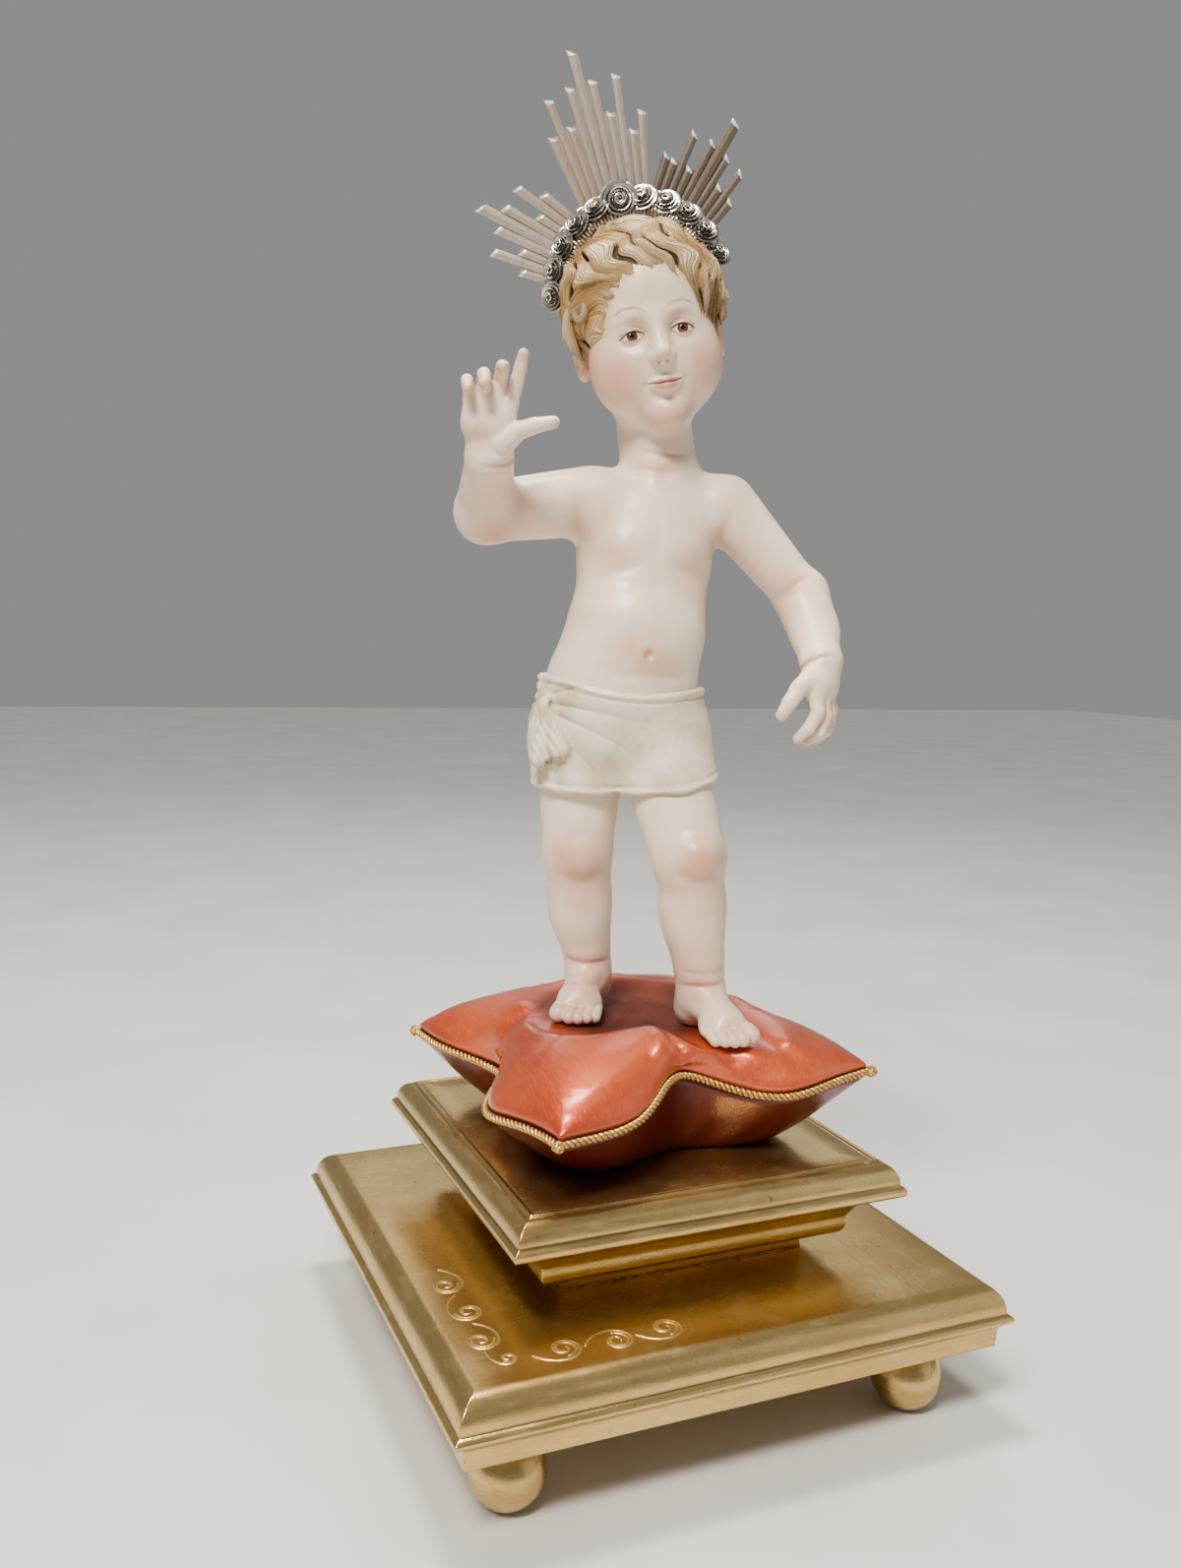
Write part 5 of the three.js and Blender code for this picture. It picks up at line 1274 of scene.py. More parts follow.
for k in range(4):  # a little knot where the cord turns each corner
    c = C0[int(round(k * m / 4)) % m]
    o = np.array([c[0], c[1], 0.0])
    o /= np.linalg.norm(o)
    side_v = np.array([-o[1], o[0], 0])
    c = c + o * 1.6
    for (ax, ay, tilt) in ((o, np.array([0, 0, 1.0]), 0.3), (side_v, np.array([0, 0, 1.0]), -0.4), (o, side_v, 0.5)):
        a = np.linspace(0, 2 * math.pi, 25)[:-1]
        nrm = np.cross(ax, ay)
        path = c + 2.1 * (np.cos(a)[:, None] * ax + np.sin(a)[:, None] * ay) + tilt * np.sin(2 * a)[:, None] * nrm
        P, F = tube(path, 1.1, 8, True)
        parts.append((P, F))
        deep.append(smoothstep(np.linalg.norm(P - c, axis=1), 2.2, 1.1))
P, F = merged(parts)
make("cushion_cord_twisted", P, F, CORD.mat, "cord", "cushion_cord", attrs={"deep": np.concatenate(deep)}, turn=4.9)

# ------------------------------------------------------------------ gilt plinths
GOLD = Mat("aged_gilding")
# the neck block's gilding, with a painted orange reflection
GOLD_NECK_REFLECTION = Mat("aged_gilding_orange")


def wobble(P, amp, seed):
    r = np.random.default_rng(seed)
    out = np.zeros(len(P))
    for _k in range(5):
        k = r.normal(size=3) * 0.035
        out += np.sin(P @ k + r.uniform(0, 6.28))
    return amp * out / 2.2


def square_ring(h, z, corner, per=22, arc=5):
    pts = []
    for k in range(4):
        a0 = math.pi * (1.25 + 0.5 * k) - math.pi / 4
        cx, cy = [(-1, -1), (1, -1), (1, 1), (-1, 1)][k]
        for j in range(arc):
            a = math.pi + math.pi / 2 * k + (math.pi / 2) * j / (arc - 1)
            pts.append((cx * (h - corner) + corner * math.cos(a), cy * (h - corner) + corner * math.sin(a)))
        nx, ny = [(1, -1), (1, 1), (-1, 1), (-1, -1)][k]
        a1 = math.pi + math.pi / 2 * (k + 1)
        p0 = np.array(pts[-1])
        p1 = np.array([nx * (h - corner) + corner * math.cos(a1), ny * (h - corner) + corner * math.sin(a1)])
        for j in range(1, per):
            pts.append(tuple(p0 + (p1 - p0) * j / per))
    return np.array([(x, y, z) for x, y in pts])


def moulding(name, rings, node, mat, cap_lo=True, cap_hi=True, fine=1.6, amp=0.10, corner=0.7, seed=3):
    prof = [rings[0]]
    for (h0, z0), (h1, z1) in zip(rings[:-1], rings[1:]):
        k = max(1, int(math.hypot(h1 - h0, z1 - z0) / fine))
        prof += [(h0 + (h1 - h0) * j / k, z0 + (z1 - z0) * j / k) for j in range(1, k + 1)]
    rows = [square_ring(h, z, min(corner, h - 1)) for h, z in prof]
    cols = len(rows[0])
    # caps close the solid with inner rings towards the middle
    lo, hi = [], []
    for k in np.linspace(0.86, 0.02, 7):
        if cap_lo:
            lo.insert(0, rows[0] * [k, k, 1])
        if cap_hi:
            hi.append(rows[-1] * [k, k, 1])
    rows = lo + rows + hi
    P = np.concatenate(rows)
    d = wobble(P, amp, seed)
    l = np.maximum(np.hypot(P[:, 0], P[:, 1]), 1)
    keep_top = (P[:, 2] > rings[0][1] + 0.5) & (P[:, 2] < rings[-1][1] - 0.2)
    P[:, 0] -= np.abs(d) * P[:, 0] / l * keep_top
    P[:, 1] -= np.abs(d) * P[:, 1] / l * keep_top
    return make(name, P, grid_faces(len(rows), cols, True), mat.mat, "gilding", node)


def quarter(h0, z0, h1, z1, steps):
    a = np.linspace(0, math.pi / 2, steps + 1)
    return [(h1 + (h0 - h1) * math.cos(x), z0 + (z1 - z0) * math.sin(x)) for x in a]


def softened(pts, times=2):
    """Rounds the hollows and swells of a profile, and keeps its ends."""
    for _k in range(times):
        out = [pts[0]]
        for a, b in zip(pts[:-1], pts[1:]):
            out += [(0.8 * a[0] + 0.2 * b[0], 0.8 * a[1] + 0.2 * b[1]), (0.2 * a[0] + 0.8 * b[0], 0.2 * a[1] + 0.8 * b[1])]
        pts = out + [pts[-1]]
    return pts


lower = [(143.5, 43)] + softened([(143.5, 43.4), (143.9, 48), (144.2, 53), (146.8, 55.6), (149.4, 57.1), (150, 59), (148.8, 60.5), (147.2, 61.2)]) \
    + quarter(147, 61.6, 135.5, 75.5, 16)
moulding("lower_plinth_gilt", lower, "lower_plinth", GOLD, seed=3)
upper = [(84.6, 88)] + softened([(84.8, 88.2), (86.4, 90.2), (87.4, 93), (87, 97.4), (87.6, 98.6), (91, 104.5), (97.6, 110),
                                 (106.6, 113), (109.4, 114.2), (109.4, 117.6), (108, 118.8)]) \
    + quarter(106.8, 119.6, 98.6, 130, 14) + softened([(97.6, 131.5), (96.6, 131.5), (95.6, 130.6), (94.4, 131)])
moulding("upper_plinth_gilt", upper, "upper_plinth", GOLD, seed=5)
moulding("neck_block_gilt", [(69.6, 75.5), (70, 76.2), (69.9, 82), (70, 88)], "neck_block", GOLD_NECK_REFLECTION, seed=8, amp=0.25)

# the uneven line of size and gesso where the neck block meets the lower plinth
path, thick = [], []
ring = square_ring(69.9, 75.7, 1.5, 130, 5)
r = np.random.default_rng(11)
jag = np.convolve(r.normal(size=len(ring) + 8), np.ones(3) / 3, "same")[:len(ring)]
ring[:, :2] *= (1 + 0.0052 * np.clip(jag, -0.6, 2.2))[:, None]
P, F = tube(ring, 0.55 + 0.5 * np.clip(np.roll(jag, 5), 0, 1.6), 6, True, 0.5)
P[:, 2] = np.maximum(P[:, 2], 75.3)
GLUE = Mat("gesso_line")
make("neck_block_gesso_line", P, F, GLUE.mat, "gilding", "neck_block")

# ball feet
zc = 18.5 * math.cos(math.asin(5 / 18.5))
a0, a1 = -math.pi / 2 + math.asin(5 / 18.5), math.acos(9 / 18.5)
prof = [(0.5, 0.0), (4.2, 0.0)] + [(18.5 * math.cos(a), zc + 18.5 * math.sin(a)) for a in np.linspace(a0, a1, 34)] \
    + [(8.6, zc + 18.5 * math.sin(a1) + 0.5), (8.8, 40), (9.4, 42), (9.6, 43.2)]
for label, x, y in (("front_left", -1, -1), ("front_right", 1, -1), ("back_right", 1, 1), ("back_left", -1, 1)):
    a = np.arange(56) * 2 * math.pi / 56
    P = np.concatenate([np.stack([r_ * np.cos(a), r_ * np.sin(a), np.full(56, z_)], 1) for r_, z_ in prof])
    P = P + [112 * x, 112 * y, 0]
    make("ball_foot_gilt_" + label, P, grid_faces(len(prof), 56, True), GOLD.mat, "gilding", "ball_foot_" + label)


# incised scrollwork on the lower plinth's top, at its front left corner
def wave_curl(p0, p1, lift, size, turns_=1.15):
    """One curl of a running scroll: a stem from p0 that rises to a spiral near p1."""
    p0, p1 = np.array(p0, float), np.array(p1, float)
    ax = (p1 - p0) / np.linalg.norm(p1 - p0)
    ay = np.array([-ax[1], ax[0]]) * lift
    L = np.linalg.norm(p1 - p0)
    c = p0 + ax * L * 0.60 + ay * size * 0.15
    k = np.linspace(0, 1, 60)
    a = -math.pi * 0.5 + 2 * math.pi * turns_ * k
    rr = size * (1 - 0.80 * k ** 0.9)
    sp = c + (rr * np.cos(a))[:, None] * ax + (rr * np.sin(a))[:, None] * ay
    k = np.linspace(0, 1, 16)[:-1]
    stem = p0 * ((1 - k) ** 2)[:, None] + (p0 + ax * L * 0.25 - ay * size * 0.95)[None] * (2 * k * (1 - k))[:, None] + sp[0] * (k ** 2)[:, None]
    one = np.concatenate([stem, sp])
    inner = c + (sp[:44] - c) * 0.74 + ax * 0.15
    return [one, inner]


lines = []
run_y = [-28, -56, -84, -110]
for k, (a_, b_) in enumerate(zip(run_y[:-1], run_y[1:])):
    lines += wave_curl((-120.5, a_), (-120.5, b_), 1 if k % 2 else -1, 9.0, 1.3)
lines += wave_curl((-123, -110), (-111, -124), 1, 5.4)
run_x = [-104, -78, -52, -26]
for k, (a_, b_) in enumerate(zip(run_x[:-1], run_x[1:])):
    lines += wave_curl((a_, -120.5), (b_, -120.5), -1 if k % 2 else 1, 9.2, 1.3)
pts = np.concatenate([np.concatenate([l[:-1] * (1 - f) + l[1:] * f for f in (0, 0.34, 0.67)]) for l in lines])


def line_distance(X, Y):
    """Distance in mm from each grid point to the nearest point of the scrolls."""
    G = np.stack([X.ravel(), Y.ravel()], 1)
    out = np.full(len(G), 9.0)
    for k in range(0, len(G), 2000):
        d = G[k:k + 2000, None] - pts[None]
        out[k:k + 2000] = np.sqrt((d ** 2).sum(-1).min(1))
    return out


SCROLL = Mat("relief_scrolls")
parts, scroll_crest_lighter = [], []
for xs, ys in ((np.arange(-132, -107.9, 0.4), np.arange(-132, -20, 0.4)), (np.arange(-108, -22, 0.4), np.arange(-132, -107.9, 0.4))):
    X, Y = np.meshgrid(xs, ys, indexing="ij")
    d = line_distance(X, Y)
    z = 75.36 + 0.46 * np.exp(-(d / 0.64) ** 2) + 0.16 * np.exp(-(d / 1.2) ** 2)
    P = np.stack([X.ravel(), Y.ravel(), z], 1)
    Q = grid_faces(len(xs), len(ys))
    Q = Q[(d[Q] < 1.75).all(1)]
    used = np.zeros(len(P), bool)
    used[Q.ravel()] = True
    idx = np.cumsum(used) - 1
    parts.append((P[used], idx[Q]))
    scroll_crest_lighter.append(np.exp(-(d[used] / 0.6) ** 2))
P, F = merged(parts)
make("lower_plinth_scrolls", P, F, SCROLL.mat, "gilding", "lower_plinth", attrs={"ridge": np.concatenate(scroll_crest_lighter)})

# ------------------------------------------------------------------ diadem
HOOP_R, HOOP_Y, HOOP_Z = 42.0, 9.0, 16.5
ROLL = rotation(0, -4.5, 0)


def worn(P):
    """From the diadem's own place in the head frame to the figure's frame."""
    P = (np.asarray(P, float) - [0, 0, HOOP_Z]) @ ROLL.T + [0, 0, HOOP_Z]
    return P @ HR.T + HEAD_AT


def hoop_at(a, out=0.0):
    return np.array([math.sin(a) * (HOOP_R + out), HOOP_Y, HOOP_Z + math.cos(a) * (HOOP_R + out)])


SILVER = Mat("antique_silver")
SILVER_RAYS = Mat("antique_silver_rays")
parts, tint, dark = [], [], []


def add_part(P, F, t, dk=0.35):
    parts.append((P, F))
    tint.append(np.full(len(P), t) if np.isscalar(t) else t)
    dark.append(np.full(len(P), dk) if np.isscalar(dk) else dk)


aa = np.linspace(rad(-84), rad(84), 150)
path = np.array([hoop_at(a) for a in aa])
P, F = tube(path, 3.5 + 0.35 * np.abs(np.sin(aa * 60)), 14)
add_part(P, F, 0.3)
for e in (-1, 1):  # end caps of the hoop
    c = hoop_at(e * rad(84))
    u, v = np.meshgrid(np.linspace(0, math.pi, 9), np.arange(14) * 2 * math.pi / 14, indexing="ij")
    B = np.stack([np.sin(u) * np.cos(v), np.sin(u) * np.sin(v), np.cos(u)], -1).reshape(-1, 3) * 3.6 + c
    add_part(B, grid_faces(9, 14, True), 0.3)
for off, yo in ((-2.0, -3.4), (2.2, -3.3)):  # beaded wires beside the hoop
    a = np.linspace(rad(-83), rad(83), 420)
    path = np.stack([np.sin(a) * (HOOP_R + off), np.full(420, HOOP_Y + yo), HOOP_Z + np.cos(a) * (HOOP_R + off)], 1)
    P, F = tube(path, 0.55 + 0.35 * np.abs(np.sin(a * 55)), 6)
    add_part(P, F, 0.4)


def petal(rho, high, phi, width, lean, nu=11, nv=8):
    u, v = np.meshgrid(np.linspace(-1, 1, nu), np.linspace(0, 1, nv), indexing="ij")
    u, v = u.ravel(), v.ravel()
    a = phi + u * width * (0.72 + 0.28 * np.sin(v * math.pi / 2))
    r = rho * (0.74 + lean * v ** 2.2) * (1 - 0.07 * u * u) + 0.10 * np.abs(u) ** 3
    z = high * np.sin(v * 1.40) * (1 - 0.26 * u * u * v) - 0.9 * np.maximum(0, v - 0.78) * rho * 0.22
    P = np.stack([r * np.cos(a), r * np.sin(a), z], 1)
    return P, grid_faces(nu, nv), v


for i in range(11):
    a = rad(-80 + 160 * i / 10)
    R = 7.9 * (1.26 if i == 5 else 1.0)
    c = hoop_at(a, 3.0) + [0, -1.8 - (1.2 if i == 5 else 0.0), 0]
    rd = np.array([math.sin(a), 0, math.cos(a)])
    face = 0.95 if i == 5 else 0.60
    tg = np.array([math.cos(a), 0, -math.sin(a)])
    ax = np.array([0, -face, 0]) + rd * (1 - face) * (1.6 if i < 5 else 0.9) + tg * (-0.12 if i < 5 else -0.22) * (i != 5)
    ax /= np.linalg.norm(ax)
    ex = np.cross(ax, [0, 0, 1.0])
    ex /= np.linalg.norm(ex)
    ey = np.cross(ax, ex)
    base = np.stack([ex, ey, ax])
    spin = 0.7 * i
    k = R / 7.2
    # a closed bud of spiral turns, then rings of petals
    b = np.linspace(0, 1, 90)
    sp = np.stack([(0.55 + 1.7 * b) * k * np.cos(b * 13 + spin), (0.55 + 1.7 * b) * k * np.sin(b * 13 + spin), (3.3 + 1.5 * b ** 0.6) * k], 1)
    P, F = tube(sp, (0.36 + 0.14 * b) * k, 6)
    add_part(P @ base + c, F, 0.2, 0.3)
    for rho, high, cnt, lean, wd in ((2.6, 4.7, 3, 0.36, 1.30), (3.9, 4.1, 3, 0.38, 1.28), (5.3, 3.2, 4, 0.38, 0.98), (6.7, 2.0, 5, 0.36, 0.80)):
        for j in range(cnt):
            P, F, v = petal(rho * k, high * k, spin + rho * 1.3 + 2 * math.pi * j / cnt, wd * 1.02, lean)
            tn = 0.15 + (0.75 if rho > 5 else 0.1) * smoothstep((P @ base)[:, 2], 0.5, -5.5)
            add_part(P @ base + c, F, tn, np.clip(1.05 * (1 - v) ** 1.6, 0, 0.72))
    u, v = np.meshgrid(np.linspace(0, math.pi, 10), np.arange(16) * 2 * math.pi / 16, indexing="ij")
    B = np.stack([np.sin(u) * np.cos(v) * 6.0 * k, np.sin(u) * np.sin(v) * 6.0 * k, np.cos(u) * 3.3 * k - 0.6], -1).reshape(-1, 3)
    add_part(B @ base + c, grid_faces(10, 16, True), 0.5, 1.0)
for i in range(10):  # small open buds that fill the gaps between the roses
    a = rad(-72 + 16 * i)
    c = hoop_at(a, 3.2) + [0, -0.7, 0]
    ax = np.array([0.35 * math.sin(a), -0.88, 0.35 * math.cos(a)])
    ax /= np.linalg.norm(ax)
    ex = np.cross(ax, [0, 0, 1.0])
    ex /= np.linalg.norm(ex)
    base = np.stack([ex, np.cross(ax, ex), ax])
    for rho, high, cnt in ((4.9, 2.4, 5), (2.9, 3.4, 4)):
        for j in range(cnt):
            P, F, v = petal(rho, high, 2 * math.pi * j / cnt + i + rho, 0.85, 0.36)
            add_part(P @ base + c, F, 0.45, np.clip(0.95 * (1 - v) ** 1.6, 0, 0.65))
nu, nv = 420, 9  # a fluted, scalloped border under the roses, down to the hair
u, v = np.meshgrid(np.linspace(rad(-82), rad(82), nu), np.linspace(0, 1, nv), indexing="ij")
u, v = u.ravel(), v.ravel()
scallop = np.abs(np.sin(u * 21))
flute = np.cos(u * 126)
reach = v * (1 - 0.22 * (1 - scallop ** 0.6)) * (8.4 + 0.8 * np.sin(u * 5 + 1))
P = np.stack([np.sin(u) * (HOOP_R + 1.0 - reach), HOOP_Y - 4.6 - 1.7 * np.sin(v * 2.5) - 0.34 * flute * smoothstep(v, 0.05, 0.4)
              - 0.5 * scallop * v, HOOP_Z + np.cos(u) * (HOOP_R + 1.0 - reach)], 1)
add_part(P, grid_faces(nu, nv), 0.75 + 0.5 * v, np.clip(0.45 - 0.55 * flute, 0, 1) * 0.8)
P, F = merged(parts)
make("diadem_roses", worn(P), F, SILVER.mat, "silver", "diadem", attrs={"tint": np.concatenate(tint), "dark": np.concatenate(dark)}, turn=-15.6)

parts, tint, dark = [], [], []
RAYS = [(-50, [20, 36, 22, 37, 50, 38, 21, 38, 26]), (-1, [44, 60, 44, 61, 77, 61, 45, 62, 36, 45]),
        (44, [26, 24, 40, 23, 40, 54, 38, 24, 37, 23])]
RAY_Y = HOOP_Y + 1.4
for gi, (mid, lengths) in enumerate(RAYS):
    cnt = len(lengths)
    rot = rotation(0, mid, 0)

    def place(P):
        return P @ rot.T + [0, RAY_Y, HOOP_Z]
    for i, L in enumerate(lengths):
        f = (i + 0.5) / cnt - 0.5
        a, d = rad(47 * f), rad(24 * f)
        p0 = np.array([44 * math.sin(a), 0, 44 * math.cos(a)])
        dv = np.array([math.sin(d), 0, math.cos(d)])
        sv = np.array([math.cos(d), 0, -math.sin(d)])
        stations = np.concatenate([np.linspace(-2.2, L - 3, 12), [L - 1.5, L - 0.5, L]])
        rows = []
        for j, l in enumerate(stations):
            half = 0.5 * (42.5 * rad(47) / cnt + 0.34 * max(l, 0) * rad(24) / cnt) * (1.05 if i % 2 else 1.0) * (1.22 if L == max(lengths) else 1.0)
            # section: flat back, a ridge along the front, small bevels; the end is cut aslant
            sec = np.array([(-1, 0.55), (-1.0, -0.12), (-0.86, -0.38), (-0.12, -0.60), (0.12, -0.60), (0.86, -0.38), (1.0, -0.12), (1, 0.55), (0, 0.62)])
            end = smoothstep(l, L - 4, L)
            sl = (-2.2 if i % 2 else -3.4) * end * (sec[:, 0] * 0.5 + 0.5) * half / 2.4
            thin_ = 1.0 - 0.35 * end
            rows.append(p0 + (l + sl)[:, None] * dv + (sec[:, 0] * half)[:, None] * sv
                        + np.stack([np.zeros(9), sec[:, 1] * 1.25 * thin_ - (0.28 if i % 2 else 0.0) - (0.35 if L == max(lengths) else 0.0), np.zeros(9)], 1))
        P = np.concatenate(rows)
        F = [grid_faces(len(stations), 9, True)]
        P = np.concatenate([P, [rows[-1].mean(0)]])
        k = np.arange(9)
        F.append(np.stack([len(P) - 1 + 0 * k, (len(stations) - 1) * 9 + k, (len(stations) - 1) * 9 + (k + 1) % 9], 1))
        tn = np.concatenate([np.repeat(np.clip(stations / L, 0, 1), 9), [1]])
        for part_f in F:
            parts.append((place(P), part_f))
            # tint carries the group; the right-hand group gets painted shade
            tint.append(np.full(len(P), 0.25 * gi + 0.045 * math.sin(i * 2.4 + gi)))
            # the ray sides get painted shade in the gaps between rays; below 0, the cut ends get a painted highlight
            dark.append(np.append(np.tile([0.5, 0.55, 0.10, 0.0, 0.0, 0.10, 0.55, 0.5, 0.5], len(stations)) - 0.9 * np.repeat(smoothstep(stations, L - 3.0, L - 0.6), 9), -0.9))
    # the low web that joins the bars
    web = []
    for i in range(cnt + 1):
        f = i / cnt - 0.5
        a, d = rad(47 * f), rad(24 * f)
        lm = min(lengths[max(i - 1, 0)], lengths[min(i, cnt - 1)])
        for l in (-2, lm * 0.5, lm * 0.97):
            web.append([44 * math.sin(a) + l * math.sin(d), 0.02, 44 * math.cos(a) + l * math.cos(d)])
    parts.append((place(np.array(web)), grid_faces(cnt + 1, 3)))
    tint.append(np.full(len(web), 0.25 * gi))
    dark.append(np.full(len(web), 0.30))
P, F = merged(parts)
make("diadem_rays", worn(P), F, SILVER_RAYS.mat, "silver", "diadem",
     attrs={"tint": np.concatenate(tint), "dark": np.concatenate(dark)}, turn=-15.6, flat=True)

# ------------------------------------------------------------------ materials
# skin: pale ivory oil paint over gesso, pink where the carver wanted warmth


def skin_colour(M, extra=None):
    blush, fold = M.attr("blush").outputs["Fac"], M.attr("fold").outputs["Fac"]
    big = M.noise(28, 4, 0.55)
    fine = M.noise(420, 3, 0.6)
    c = M.mix(M.step(big, 0.35, 0.7), lin(236, 221, 203), lin(225, 204, 182))
    c = M.mix(M.mul(M.step(fine, 0.5, 0.8), 0.22), c, lin(204, 180, 156))
    warm = M.mul(blush, M.step(M.noise(60, 3), 0.2, 0.75, 0.7, 1.0), 0.88)
    c = M.mix(warm, c, lin(206, 128, 102))
    # painted shade: creases and the gaps between fingers and toes darker pink-brown
    c = M.mix(M.mul(fold, 0.58), c, lin(176, 104, 82))
    # faint age: pinpoint losses and a little grime
    specks = M.step(M.noise(900, 2, 0.5), 0.735, 0.77)
    c = M.mix(M.mul(specks, M.step(M.noise(45, 2), 0.5, 0.62), 0.45), c, lin(142, 116, 92))
    return c, fold, fine, big


def finish_skin(M, c, fold, fine, big, height=None):
    h = M.add(M.mul(M.noise(160, 4, 0.55), 0.6), M.mul(fine, 0.25), M.mul(big, 0.8))
    n = M.bump(h, 0.00022, 0.35)
    return M.set(color=c, rough=M.step(M.noise(75, 4), 0.25, 0.8, 0.36, 0.48), normal=n, spec=0.45, coat=0.14, coat_rough=0.22)


c, fold, fine, big = skin_colour(SKIN)
nail = SKIN.attr("nail").outputs["Fac"]
c = SKIN.mix(SKIN.mul(nail, 0.55), c, lin(214, 168, 150))
finish_skin(SKIN, c, fold, fine, big)

# face paint in the head's own millimetres
M = FACE
c, fold, fine, big = skin_colour(M)
X, Y, Z = M.xyz(M.attr("headco").outputs["Vector"])
AX = M.m("ABSOLUTE", X)


def blob(M, terms):
    """exp(-sum(((v - c) / r) ** 2))"""
    s_ = None
    for v, cc, r_ in terms:
        q = M.m("DIVIDE", M.m("SUBTRACT", v, cc), r_)
        q = M.m("MULTIPLY", q, q)
        s_ = q if s_ is None else M.m("ADD", s_, q)
    return M.m("EXPONENT", M.m("MULTIPLY", s_, -1.0))


fr = M.step(Y, -14, -24)
c = M.mix(M.mul(blob(M, ((AX, 23.0, 13.0), (Z, -27, 12.0))), M.step(Y, 4, -24), M.step(M.noise(70, 4), 0.2, 0.8, 0.75, 1.0), 0.62), c, lin(204, 132, 106))
c = M.mix(M.mul(blob(M, ((X, 0, 15), (Z, -48, 11))), fr, 0.50), c, lin(206, 140, 112))
c = M.mix(M.mul(blob(M, ((X, 0, 3.2), (Z, -20, 3.0))), fr, 0.35), c, lin(218, 150, 128))
c = M.mix(M.mul(blob(M, ((AX, 36, 6), (Z, -18, 8))), 0.55), c, lin(212, 136, 112))
# painted shade: the eye sockets darker pink-brown
eye_socket_painted_shade = M.mul(blob(M, ((AX, 12.0, 9.0), (Z, -6.0, 6.8))), fr, 0.62)
c = M.mix(eye_socket_painted_shade, c, lin(178, 134, 114))
# brows: a soft arch of fine strokes
u = M.m("DIVIDE", M.m("SUBTRACT", AX, 13.2), 8.6)
arch = M.m("SUBTRACT", 4.6, M.mul(u, u, 3.0))
dz = M.m("ABSOLUTE", M.m("SUBTRACT", Z, arch))
thick = M.m("MULTIPLY", M.m("SUBTRACT", 1.05, M.mul(u, u, 0.55)), 1.0)
stroke = M.noise(1.0, 2, 0.5, vec=M.node("ShaderNodeCombineXYZ", {0: M.m("ADD", M.mul(AX, 1.5), M.mul(Z, 1.4)), 1: M.mul(Z, 0.2), 2: 0.0}).outputs[0])
brow = M.mul(M.step(M.m("DIVIDE", dz, thick), 1.25, 0.35), M.step(u, -1.12, -0.75), M.step(u, 1.12, 0.6), M.step(stroke, 0.28, 0.62), fr, 0.62)
c = M.mix(brow, c, lin(140, 96, 62))
# lash lines along the lids, and painted shade in the fold above them
ex = M.m("SUBTRACT", AX, EYE[0])
ez = M.m("SUBTRACT", Z, EYE[2])
q6 = M.m("DIVIDE", ex, 6.0)
almond = M.m("MAXIMUM", M.m("SUBTRACT", 1.0, M.mul(q6, q6)), -0.6)
du = M.m("SUBTRACT", ez, M.m("SUBTRACT", M.mul(almond, 2.35), M.mul(ex, 0.10)))
dl = M.m("ADD", ez, M.mul(almond, 1.9))
inside = M.mul(M.step(M.m("ABSOLUTE", ex), 6.7, 5.9), fr)
c = M.mix(M.mul(blob(M, ((du, 0.15, 0.55),)), inside, 0.9), c, lin(74, 42, 30))
c = M.mix(M.mul(blob(M, ((dl, -0.15, 0.42),)), inside, 0.6), c, lin(136, 78, 62))
# painted shade along the crease above the upper lid
c = M.mix(M.mul(blob(M, ((du, 2.0, 0.5),)), inside, 0.35), c, lin(150, 96, 76))
# lips: quiet, closed
zm = M.add(M.mul(M.m("COSINE", M.mul(AX, 0.7)), blob(M, ((AX, 0, 5),)), 0.12), -33.4, M.mul(AX, AX, 0.009))
dm = M.m("SUBTRACT", Z, zm)
v8 = M.m("DIVIDE", AX, 9.2)
full = M.m("MAXIMUM", M.m("SUBTRACT", 1.0, M.mul(v8, v8)), 0.0)
bow = M.m("SUBTRACT", M.mul(full, 2.3), M.mul(blob(M, ((AX, 0, 1.7),)), 0.6))
up_lip = M.mul(M.step(dm, -0.25, 0.15), M.step(M.m("SUBTRACT", dm, bow), 0.55, -0.65))
lo_lip = M.mul(M.step(dm, 0.25, -0.15), M.step(M.m("ADD", dm, M.mul(full, 3.1)), -0.75, 0.75))
lip = M.mul(M.m("MAXIMUM", up_lip, lo_lip), M.step(AX, 9.6, 7.6), M.step(Y, -22, -28))
c = M.mix(M.mul(lip, 0.66), c, lin(190, 112, 94))
# painted shade: a dark line in the groove between the lips
c = M.mix(M.mul(blob(M, ((dm, 0, 0.38),)), M.step(AX, 9.6, 7.6), M.step(Y, -22, -28), 0.70), c, lin(126, 64, 50))
# painted shade in the nostrils
c = M.mix(M.mul(blob(M, ((AX, 2.3, 1.1), (Z, -23.6, 0.8))), M.step(Y, -34, -38), 0.7), c, lin(120, 62, 48))
# hairs painted softly onto the forehead and temples
edge_f, strand_f = M.attr("edge").outputs["Fac"], M.attr("strand").outputs["Fac"]
wisp = M.m("SINE", M.add(M.mul(strand_f, 2 * math.pi * STRANDS * 1.5), M.mul(M.noise(120, 2), 4.0)))
reach = M.step(M.m("ADD", edge_f, M.mul(wisp, 1.2)), -4.8, 1.0)
c = M.mix(M.mul(reach, M.step(wisp, -0.2, 0.8, 0.25, 0.85), 0.85), c, lin(190, 152, 106))
finish_skin(M, c, fold, fine, big)

